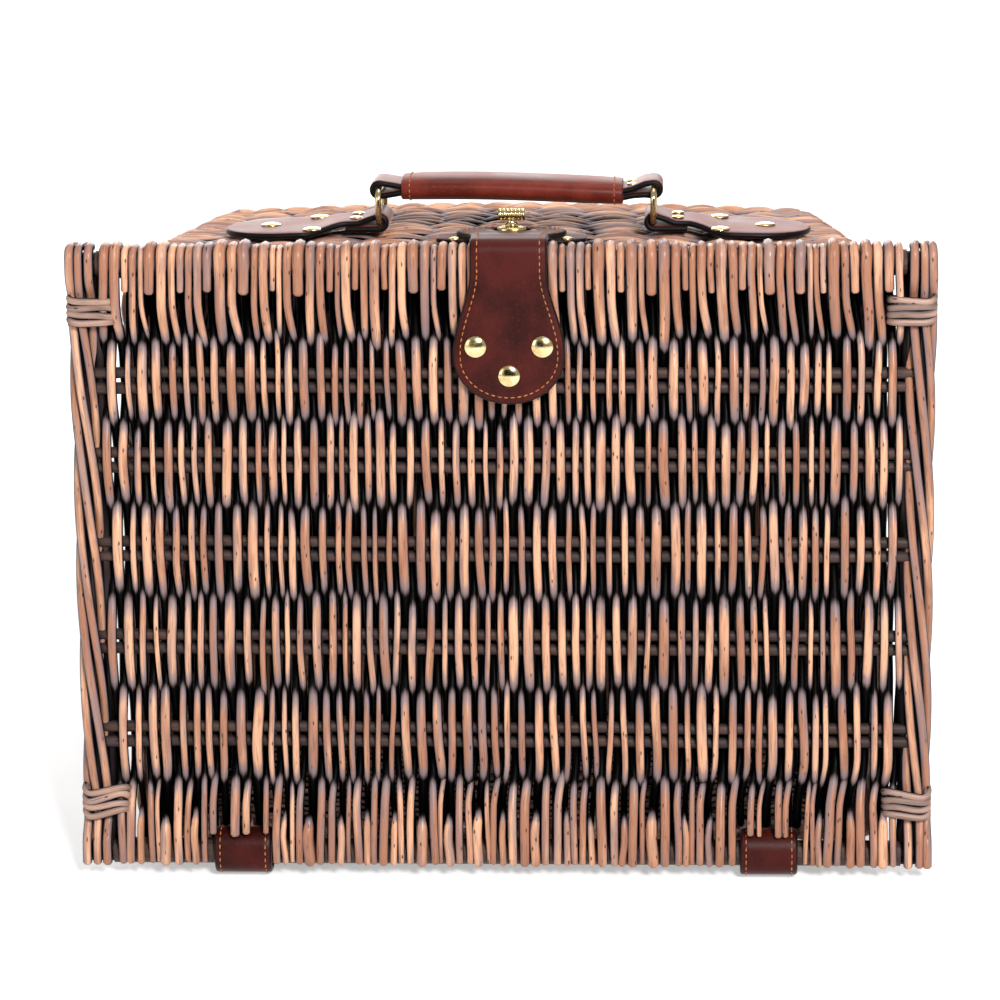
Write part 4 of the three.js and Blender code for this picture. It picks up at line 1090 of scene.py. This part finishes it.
def strap_half(d):
    """Half width: 25.7 at the front lobe, 17.7 at the waist, 25.7 again at the flap, by smooth steps."""
    d = np.asarray(d, float)
    front = LOBE_HALF - WAIST_IN * smooth((d - 24) / 38)
    rear = WAIST_IN * smooth((d - (strap.length - 34)) / 20)
    return front + rear


strap_part = leather_band(strap, strap_half, FRONT_ROUND, FLAP_ROUND, middle_steps=90)
strap_piece = make_piece("closing_strap", strap_part, LEATHER_SKIN, weld=True)
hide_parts("strap", "strap_flap")

# %% [markdown]
# The slot is cut through the finished band by a Boolean modifier, applied at once: a closed prism with half
# round ends is taken out of it.

# %% Slot
SLOT_LONG = 19.0


def slot_ring(share, lift, steps=13):
    """The slot's outline at a share of its size, lifted off the flap's middle: half a turn of x = half the
    straight part + r cos a and y = r sin a, and the same turned round."""
    a = np.linspace(-np.pi / 2, np.pi / 2, steps)
    x = (SLOT_LONG - SLOT_WIDE) / 2 + SLOT_WIDE / 2 * np.cos(a)
    y = SLOT_WIDE / 2 * np.sin(a)
    x, y = share * np.concatenate([x, -x]), share * np.concatenate([y, -y])
    return np.column_stack([STRAP_X + x, BUTTON_Y + y, np.full(len(x), FLAP_LOW + lift)])


prism = closed_skin(np.stack([slot_ring(1.0, lift) for lift in (-6, 6)]))
mesh = bpy.data.meshes.new("slot_cutter")
mesh.from_pydata(to_world(prism["points"]), [], prism["faces"])
work = bmesh.new()
work.from_mesh(mesh)
bmesh.ops.recalc_face_normals(work, faces=work.faces)
work.to_mesh(mesh)
work.free()
cutter = bpy.data.objects.new("slot_cutter", mesh)
bpy.context.scene.collection.objects.link(cutter)

cut = strap_piece.modifiers.new("slot", "BOOLEAN")
cut.object, cut.operation, cut.solver = cutter, "DIFFERENCE", "EXACT"
bpy.context.view_layer.update()
evaluated = strap_piece.evaluated_get(bpy.context.evaluated_depsgraph_get())
strap_piece.data = bpy.data.meshes.new_from_object(evaluated)
strap_piece.modifiers.clear()
bpy.data.objects.remove(cutter)
strap_piece.data.shade_smooth()
print("strap with its slot:", len(strap_piece.data.vertices), "points")

# %% Where the strap's bend starts and ends, and its seam
BLEND = {"start": tuple(to_world([STRAP_X, -2.0, STRAP_Z])),
         "end": tuple(to_world([STRAP_X, 9.0, STRAP_Z]))}
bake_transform(strap_piece)
front_seam = stitches(strap, strap_half, FRONT_ROUND, FLAP_ROUND, 3.4, LEATHER / 2)
seam = make_piece("strap_stitches", front_seam, THREAD)
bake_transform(seam)

# %% [markdown]
# A slot's cut edge is painted like the strap's outline. It is a thin black lining, a rounded strip that
# follows the slot and sits in the cut.

# %% Slot lining
path = slot_ring(0.985, 0)[None]
lining = tubes(path, np.full(path.shape[:2], 0.55), UPWARD, looped=True, flat=2.7)
lining["values"] = {"edge": level(lining, 1)}
make_piece("slot_lining", lining, LEATHER_SKIN, "strap_flap")

# %% [markdown]
# Rivets, the boss and the turning button are turned parts: a profile of radius and height, spun round an
# axis. A modifier could spin one of them, but many copies at once are simpler as one array.

# %% Turned parts
def turned(profile, centres, axis, steps=24, squash=(1.0, 1.0)):
    """Profile points (radius, height) spun round the axis at each centre: centre + height times axis
    + radius (cos a times first + sin a times second)."""
    profile = np.asarray(profile, float)
    axis = unit(np.asarray(axis, float))
    first = unit(np.cross(axis, [0, 1.0, 0.0] if abs(axis[1]) < 0.9 else [1.0, 0, 0]))
    second = np.cross(axis, first)
    a = 2 * np.pi * np.arange(steps) / steps
    ring = (np.cos(a)[:, None] * squash[0] * first + np.sin(a)[:, None] * squash[1] * second)
    shape = profile[:, None, 1:] * axis + profile[:, None, :1] * ring[None]
    return joined([closed_skin(np.asarray(centre, float) + shape) for centre in centres])


def rivet_profile(radius, height, below=1.0):
    """A shank, a rolled edge up to 12% of the height, and a dome of height times 0.28 + 0.72 (1 - r²) to
    the power 0.75."""
    r = np.array([0.999, 0.97, 0.9, 0.78, 0.62, 0.44, 0.25, 0.08])
    dome = 0.28 * height + 0.72 * height * (1 - r ** 2) ** 0.75
    return np.concatenate([[[radius * 0.6, -below], [radius * 0.98, 0.02], [radius, 0.12 * height]],
                           np.stack([radius * r, dome], 1)])


print("a rivet's dome rises", rivet_profile(5.05, 1.9)[-1, 1].round(2), "mm")


# %% Rivets of the strap and the patch
FRONTWARD = -BACK_AXIS
strap_face = STRAP_Y - LEATHER / 2
pair_height, low_height = STRAP_END + 27.2, STRAP_END + 13.6
centres = [[STRAP_X - 15.3, strap_face, pair_height], [STRAP_X + 15.3, strap_face, pair_height],
           [STRAP_X, strap_face, low_height]]
caps = make_piece("strap_rivet_caps", turned(rivet_profile(5.05, 1.9), centres, FRONTWARD, 28),
                  BRASS, "lid")
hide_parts("strap_rivet_1", "strap_rivet_2", "strap_rivet_3")

centres = [[STRAP_X + side * 26.0, 16.5, PATCH_TOP] for side in (-1, 1)]
patch_caps = make_piece("patch_rivet_caps", turned(rivet_profile(2.8, 1.3), centres, UPWARD, 20),
                        BRASS, "basket")
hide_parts("lock_patch_rivet_left", "lock_patch_rivet_right")

# %% [markdown]
# The lock is a low oval boss on the patch, and a barrel shaped knob that turns on a neck above it. The
# knob's ridges give the fingers a grip, so they are cut into its profile.

# %% Boss, neck and knob
BOSS_HIGH, OVAL = 4.5, (1.0, 0.7)
boss_low = PATCH_TOP + AIR
boss_profile = [[6.85, 0], [6.85, 3.0], [6.6, 3.5], [6.0, 3.9], [5.2, 4.15], [4.3, 4.3], [3.6, 4.4],
                [2.4, 4.45], [0.6, BOSS_HIGH]]
boss = make_piece("lock_plate", turned(boss_profile, [[STRAP_X, BUTTON_Y, boss_low]], UPWARD, 40, OVAL),
                  BRASS, "basket")
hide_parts("lock_boss")

neck_low = boss_low + BOSS_HIGH
neck_profile = [[1.6, -2.2], [1.6, 0.2], [3.4, 0.3], [3.3, 0.8], [2.6, 1.5], [2.3, 2.3], [2.5, 3.3],
                [2.2, 5.2]]
neck = turned(neck_profile, [[STRAP_X, BUTTON_Y, neck_low]], UPWARD)

KNOB_RADIUS, KNOB_HALF, RIDGES, GROOVE = 2.9, 6.15, 7, 0.42
knob_middle = neck_low + AIR + 2.6 + KNOB_RADIUS * 0.8
reach = np.linspace(-1, 1, 99)
wave = np.abs(np.sin(np.pi * RIDGES * (reach + 1) / 2)) ** 0.7
ridged = np.stack([KNOB_RADIUS - GROOVE * (1 - wave), KNOB_HALF * reach], 1)
knob_profile = np.concatenate([[[0.5, -KNOB_HALF]], ridged, [[0.5, KNOB_HALF]]])
knob = turned(knob_profile, [[STRAP_X, BUTTON_Y, knob_middle]], RIGHT, 28)
button = make_piece("turning_button", joined([neck, knob]), BRASS, "turn_button")
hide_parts("turn_button")

# %% [markdown]
# The patch keeps the boss from pulling through the weave. It is a short, wide band with round ends, of
# thinner leather, laid flat on the top wall.

# %% Lock patch
PATCH_THICK, PATCH_FRONT, PATCH_BACK = 2.0, 11.5, 41.0
patch_z = PATCH_TOP - PATCH_THICK / 2
patch = band([[PATCH_FRONT, patch_z], [PATCH_BACK, patch_z]], front_to_back(STRAP_X))
patch_part = leather_band(patch, even_width(35.0), 9, 9, PATCH_THICK, middle_steps=10)
patch_piece = make_piece("lock_leather", patch_part, LEATHER_SKIN, "basket", weld=True)
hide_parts("lock_patch")

# %% [markdown]
# The lid hangs on two leather loops. Each goes round the hinge stick and runs back under the bottom wall.
# The loops stay still while the stick turns in them, so they ride on the basket.

# %% Hinge loops
TAIL_BACK, TAIL_FRONT = 52.0, 21.1


def hinge_loop(side):
    """Tail under the wall, then once round the stick at 7.7 mm from its middle."""
    hug = STICK / 2 + AIR + LEATHER / 2
    tail = AIR + LEATHER / 2 + 2.0
    line = np.concatenate([[[y, bottom_at(y) - tail] for y in (TAIL_BACK, TAIL_FRONT)],
                           arc_points((0, -1.2), hug, 290, 180, 14), arc_points((0, 2.4), hug, 180, 0, 18),
                           [[hug, -1.0]]])
    return band(line, front_to_back(side * HINGE_X))


for name, side in SIDES:
    loop, width = hinge_loop(side), even_width(13.5)
    piece = make_piece("hinge_leather_" + name, leather_band(loop, width, middle_steps=70),
                       LEATHER_SKIN, "basket", weld=True)
    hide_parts("hinge_loop_" + name)
    seam = stitches(loop, width, 0, 0, 2.8, LEATHER / 2 - 0.05, skip=6)
    make_piece("hinge_stitches_" + name, seam, THREAD, "basket")

# %% [markdown]
# The handle hangs on two brass rings, each held by a folded leather chape that is riveted to the top wall.
# A chape is paddle shaped: broad and round at its outer end, narrow where it folds round the ring. It is a
# band whose line goes along the wall, over its own end and round the ring.

# %% Where the handle's parts lie
# The handle's middle, how far out the rings hang, their wire's radius, and where a ring starts and ends
HANDLE_X, HANDLE_Y = 5.0, 72.0
RING_X, WIRE = 65.0, 1.5
WIRE_Z = LID_TOP + 0.03
RING_TOP = WIRE_Z + 15.5
# The radius of leather's middle round the wire, the lower ply's height, and the paddle's end past the ring
FOLD = WIRE + AIR + LEATHER / 2
PLY_Z = WIRE_Z - FOLD
PADDLE = 78 - FOLD


def sideways(side):
    """Places a band that runs out from the handle's middle: x = run to that side, y = across, z = rise."""
    return lambda run, across, rise: np.stack([HANDLE_X + side * run, HANDLE_Y + across, rise], -1)


def wall_top(x, y):
    """Height of the top wall's outside: its ends' height and its bow times (1 - (x / span)²)."""
    span = half_at(y) - 12.3
    return top_at(y) + BOWS[0] * (1 - (x / span) ** 2)


print("rings", RING_X, "mm out from the handle's middle, tops", RING_TOP, "mm up")


# %% Chapes
def chape_band(side):
    """Along the wall, over its own end, round the ring and back underneath: the upper ply climbs by one
    thickness between 34 and 16 mm from the ring, and the end lies flat below it."""
    outer = RING_X + PADDLE
    seat = AIR + 4.0 * 26 / DEPTH
    outer_z = wall_top(HANDLE_X + side * outer, HANDLE_Y) + seat + LEATHER / 2
    run = np.linspace(outer, RING_X + 10, 40)
    climb = (LEATHER + AIR) * smooth((RING_X + 34 - run) / 18)
    over = np.stack([run, PLY_Z + (outer_z - PLY_Z) * (run - RING_X) / (outer - RING_X) + climb], 1)
    bridge = [[RING_X + 5.6, (over[-1, 1] + WIRE_Z + FOLD) / 2]]
    turn = arc_points((RING_X, WIRE_Z), FOLD, 90, 270, 16)
    line = np.concatenate([over, bridge, turn, [[RING_X + 8, PLY_Z], [RING_X + 16, PLY_Z]]])
    return band(line, sideways(side))


def chape_half(d):
    """26 mm at the paddle, drawn in to 15 at the neck between 38 and 60 mm from the outer end."""
    return 26.0 - 11.0 * smooth((np.asarray(d, float) - 38) / 22)


for name, side in SIDES:
    chape = chape_band(side)
    piece = make_piece("chape_leather_" + name, leather_band(chape, chape_half, start=28, middle_steps=90),
                       HANDLE_SKIN, "basket", weld=True)
    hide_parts("chape_" + name)
    # One rivet near the paddle's end and a pair towards the neck, then a small pair at the fold
    along, across = np.array([PADDLE - 53, PADDLE - 31, PADDLE - 31]), np.array([0.0, -19.0, 19.0])
    places = chape(along, across, np.full(3, -LEATHER / 2))
    fold_x, fold_z = HANDLE_X + side * (RING_X + 11.5), PLY_Z + LEATHER * 1.5 + AIR
    small = [[fold_x, HANDLE_Y + across, fold_z] for across in (-7.0, 7.0)]
    caps = joined([turned(rivet_profile(4.8, 1.5), places, UPWARD),
                   turned(rivet_profile(3.1, 1.1), small, UPWARD, 20)])
    piece = make_piece("chape_rivet_caps_" + name, caps, BRASS, "basket")
    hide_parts(*[f"chape_rivet_{name}_{k}" for k in (1, 2, 3)])

# %% [markdown]
# A ring is one length of wire bent to an oblong with round corners, and brazed. Its path is four quarter
# circles, and the straight sides are the gaps between them.

# %% Rings
RING_HALF, RING_CORNER = 18.0, 4.6


def ring_wire(side):
    """Round wire on four arcs: the corner's centre + 4.6 times cos a and sin a, a quarter turn in each."""
    quarter = np.linspace(0, np.pi / 2, 9)
    arcs = []
    for turns, (side_y, side_z) in enumerate([(1, 1), (-1, 1), (-1, -1), (1, -1)]):
        angle = quarter + turns * np.pi / 2
        y = side_y * (RING_HALF - RING_CORNER) + RING_CORNER * np.cos(angle)
        z = (RING_TOP - RING_CORNER if side_z > 0 else WIRE_Z + RING_CORNER) + RING_CORNER * np.sin(angle)
        arcs.append(np.stack([y, z], 1))
    route = np.concatenate(arcs)
    x = np.full(len(route), HANDLE_X + side * RING_X)
    path = np.column_stack([x, HANDLE_Y + route[:, 0], route[:, 1]])[None]
    return tubes(path, np.full(path.shape[:2], WIRE), RIGHT, sides=14, looped=True)


for name, side in SIDES:
    piece = make_piece("ring_wire_" + name, ring_wire(side), BRASS, "ring_" + name)
    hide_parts("ring_" + name)

# %% [markdown]
# The handle is a strap that turns round both rings, with a stitched cover over its middle. It is soft
# enough to hang a little lower on the right, so its middle line droops there by a smooth step.

# %% Handle straps
DROOP = -2.4


def droop(x):
    """Height of the handle's middle line over the rings' tops: 0 at the left ring, -2.4 mm at the right end
    of the grip, and 0 again at the right ring, by smooth steps."""
    return DROOP * smooth((x + 60) / 110) * smooth((RING_X - 3 - x) / 12)


def handle_band(side):
    """The strap turns round the ring's upper side, and both plies run into the grip."""
    turn = arc_points((RING_X, RING_TOP), FOLD, 90, -90, 18)
    closed = LEATHER / 2 + 0.15
    run = np.array([40.0, RING_X - 14, RING_X - 10, RING_X - 4])
    middle = RING_TOP + droop(side * run)
    apart = np.array([closed, closed, closed, 2.6])
    upper, lower = np.stack([run, middle + apart], 1), np.stack([run, middle - apart], 1)[::-1]
    return band(np.concatenate([upper, turn, lower]), sideways(side))


for name, side in SIDES:
    loop = handle_band(side)
    piece = make_piece("handle_strap_" + name, leather_band(loop, even_width(13.0), middle_steps=60),
                       HANDLE_SKIN, "handle", weld=True)
    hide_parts("handle_loop_" + name)

# Two small rivets hold the plies together beside the right ring, the last loop made
places = loop(np.full(2, 15.6), np.array([-5.5, 5.5]), np.full(2, LEATHER / 2))
caps = turned(rivet_profile(2.7, 1.0), places, UPWARD, 20)
make_piece("handle_rivet_caps", caps, BRASS, "handle")

# %% [markdown]
# The grip's cover is padded leather wrapped round the strap. Its section is a flattened round, slimmer near
# its ends, and its ends turn in as black painted lips.

# %% Grip
# Its length and middle, its half width and half height, and how far its middle line arches
GRIP, GRIP_X, GRIP_WIDE, GRIP_TALL, GRIP_ARCH = 104.0, -2.0, 16.0, 6.0, 1.2
# How far each ring of a lip is drawn in, and how far it lies past the grip's end
LIPS = ((-0.5, 0.5), (-1.6, 0.55), (-2.4, -1.0))


def grip_section(reach, angle, lift=0.0):
    """A flattened round: 16 times cos a to the power 0.72 and 6 times sin a to the power 0.8, arched by
    1.2 mm, and slimmer by 7% at the ends. reach runs from -1 to 1 along the grip."""
    c, s = np.cos(angle), np.sin(angle)
    slim = 1 - 0.07 * reach ** 6
    wide = (GRIP_WIDE * slim + lift) * np.sign(c) * np.abs(c) ** 0.72
    tall = (GRIP_TALL * slim + lift) * np.sign(s) * np.abs(s) ** 0.8
    x = GRIP_X + reach * GRIP / 2
    middle = RING_TOP + droop(np.minimum(x, 48)) + GRIP_ARCH * (1 - reach ** 2)
    return np.stack([HANDLE_X + x + 0 * wide, HANDLE_Y + wide, middle + tall], -1)


def grip_part():
    """Sections along the grip, closer together near its ends, with the rings of a lip at each end."""
    angle = (2 * np.pi * np.arange(56) / 56)[None]
    reach = np.sin(np.linspace(-np.pi / 2, np.pi / 2, 49))[:, None]
    lips = []
    for end in (-1, 1):
        rings = [grip_section(np.array([[end * 1.0]]), angle, lift) for lift, past in LIPS]
        for ring, (lift, past) in zip(rings, LIPS):
            ring[..., 0] += end * past
        lips.append(rings)
    points = np.concatenate([*lips[0][::-1], grip_section(reach, angle), *lips[1]], 0)
    edge = np.zeros(points.shape[:2])
    edge[:len(LIPS)], edge[-len(LIPS):] = 1, 1
    return closed_skin(points, edge=edge.reshape(-1))


grip = make_piece("handle_cover", grip_part(), HANDLE_SKIN, "handle")
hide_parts("handle_grip")

# %% Stitches round both ends of the grip
SEAM_IN = 7.2
seam_parts = []
for end in (-1, 1):
    at_end = np.array([[end * (1 - SEAM_IN / GRIP)]])
    angle = np.linspace(0, 2 * np.pi, 241)[:-1]
    reach = reach_along(grip_section(at_end[0], angle))
    centres = np.arange(1.5, reach[-1] - 1.5, 2.9)
    stitch_angle = np.interp(centres[:, None] + STITCH_ARCH, reach, angle)
    paths = grip_section(at_end, stitch_angle, 0.34 * (1 - STITCH_ARCH ** 2) - 0.1)
    seam_parts.append(tubes(paths, np.repeat(THREAD_RADIUS[None], len(paths), 0), RIGHT, sides=6))
make_piece("handle_stitches", joined(seam_parts), THREAD, "handle")

# %% [markdown]
# Two CAD nodes are good as they are: the lid's frame sticks, which only show in the gaps between the rods.
# They keep their meshes and get the dark wood.

# %% Frame sticks
for name in ("lid_stick_top", "lid_stick_hinge"):
    slots = frame["nodes"][name].data.materials
    slots.clear()
    slots.append(STICK_WOOD)
    print(name, "is now", slots[0].name)

# %% [markdown]
# The camera stands where the photographer's did: a long lens, a little to the right and above, with the
# picture's middle below the lens's. A long lens keeps the lid's sides almost parallel. Its place and turns
# are given in the hamper's own frame.

# %% Camera
# Where the lens stands in millimetres, its turns, and its focal length in the picture's pixels
EYE = np.array([84.6, -1624.8, 556.7])
PITCH, YAW, ROLL = np.radians([10.968, 2.343, -0.483])
LENS_PIXELS, PICTURE_PIXELS, SENSOR = 3600.0, 1000, 36.0


def camera_axes():
    """Forward looks down by the pitch and left by the yaw; right is level; both are then rolled."""
    cp, sp, cy, sy = math.cos(PITCH), math.sin(PITCH), math.cos(YAW), math.sin(YAW)
    forward = np.array([-sy * cp, cy * cp, -sp])
    level_right = np.array([cy, sy, 0.0])
    level_up = np.cross(level_right, forward)
    right = math.cos(ROLL) * level_right + math.sin(ROLL) * level_up
    up = -math.sin(ROLL) * level_right + math.cos(ROLL) * level_up
    return [v[0] * RIGHT + v[1] * BACK + v[2] * UP for v in (right, up, forward)]


lens = bpy.data.cameras.new("camera")
lens.sensor_width, lens.lens = SENSOR, SENSOR * LENS_PIXELS / PICTURE_PIXELS
lens.shift_x, lens.shift_y = -0.040, -0.150
lens.clip_start, lens.clip_end = 0.05, 60.0
camera = bpy.data.objects.new("camera", lens)
right, up, forward = camera_axes()
turned_to = Matrix(np.column_stack([right, up, -forward]).tolist()).to_quaternion()
camera.matrix_world = Matrix.LocRotScale(Vector(to_world(EYE)), turned_to, None)
bpy.context.scene.collection.objects.link(camera)
bpy.context.scene.camera = camera
print("camera", [round(v, 3) for v in camera.location], "with a lens of", round(lens.lens, 1), "mm")

# %% [markdown]
# A studio: a pale floor, a soft lamp in front on the right, a weak one on the left, one overhead, one
# behind, and an even sky. The floor adds a little light of its own for the camera and in gloss, so that it
# reads white there and still keeps the hamper's shadow. The sky does the same with its strength, so no more
# light falls on the hamper for it. Varnish and brass need something dark to mirror too: a black screen
# behind the camera, which only gloss sees.

# %% Floor
WHITE = (1.0, 1.0, 1.0, 1.0)


def card(name, corners, material, location=(0, 0, 0)):
    """One flat rectangle of the studio, which isn't part of the hamper."""
    mesh = bpy.data.meshes.new(name)
    mesh.from_pydata(corners, [], [(0, 1, 2, 3)])
    mesh.materials.append(material)
    sheet = bpy.data.objects.new(name, mesh)
    sheet.location = location
    bpy.context.scene.collection.objects.link(sheet)
    return sheet


# Matt paper, seen a little brighter by the camera and in gloss than the lamps make it
paper, node = new_material("studio_floor")
rays = node("LightPath").outputs
seen = node("Math", {0: rays["Is Camera Ray"], 1: rays["Is Glossy Ray"]}, operation="MAXIMUM")
glow = node("Math", {0: seen, 1: 0.42}, operation="MULTIPLY")
matt = node("BsdfDiffuse", {"Color": colour("#e6e6e6")})
lift = node("Emission", {"Color": WHITE, "Strength": glow})
node("OutputMaterial", {"Surface": node("AddShader", {0: matt, 1: lift})})
card("floor", [(-6, -6, 0), (6, -6, 0), (6, 6, 0), (-6, 6, 0)], paper)

# %% Sky
# Its strength on the hamper: weak, so that the lamps shape it. The camera sees it at 1, which is white
SKY_LIGHT = 0.34
world = bpy.data.worlds.new("studio")
bpy.context.scene.world = world
world.use_nodes = True
world.node_tree.nodes.clear()
node = partial(add_node, world.node_tree)
rays = node("LightPath").outputs
seen = node("Math", {0: rays["Is Camera Ray"], 1: rays["Is Transmission Ray"]}, operation="MAXIMUM")
strength = node("MapRange", {0: seen, 3: SKY_LIGHT, 4: 1.0})
node("OutputWorld", {"Surface": node("Background", {"Color": WHITE, "Strength": strength})})
print("the sky lights the hamper at", SKY_LIGHT, "and looks white to the camera")


# %% Lamps and screen
def softbox(name, place, size, power):
    """A square lamp of so many metres and watts that looks at the hamper's middle."""
    data = bpy.data.lights.new(name, "AREA")
    data.size, data.energy = size, power
    lamp = bpy.data.objects.new(name, data)
    away = Vector(place) - Vector((0, 0, 0.17))
    lamp.matrix_world = Matrix.LocRotScale(Vector(place), away.to_track_quat("Z", "Y"), None)
    bpy.context.scene.collection.objects.link(lamp)


softbox("key", (0.7, -2.0, 1.5), 0.5, 67)
softbox("fill", (-1.8, -1.5, 0.9), 1.2, 10)
softbox("top", (0.2, 0.5, 2.2), 1.0, 13)
softbox("rear", (-0.3, 2.4, 0.95), 1.8, 34)

# Black felt, which gloss mirrors as a dark edge and nothing else sees
felt, node = new_material("black_felt")
node("OutputMaterial", {"Surface": node("BsdfDiffuse", {"Color": colour("#060606")})})
corners = [(-1.2, 0, -0.7), (1.2, 0, -0.7), (1.2, 0, 0.7), (-1.2, 0, 0.7)]
screen = card("black_card", corners, felt, (0.09, -2.3, 0.75))
screen.visible_camera = screen.visible_diffuse = screen.visible_shadow = False

bpy.context.scene.view_settings.view_transform = "Standard"
print("lamps:", [light.name for light in bpy.data.lights])
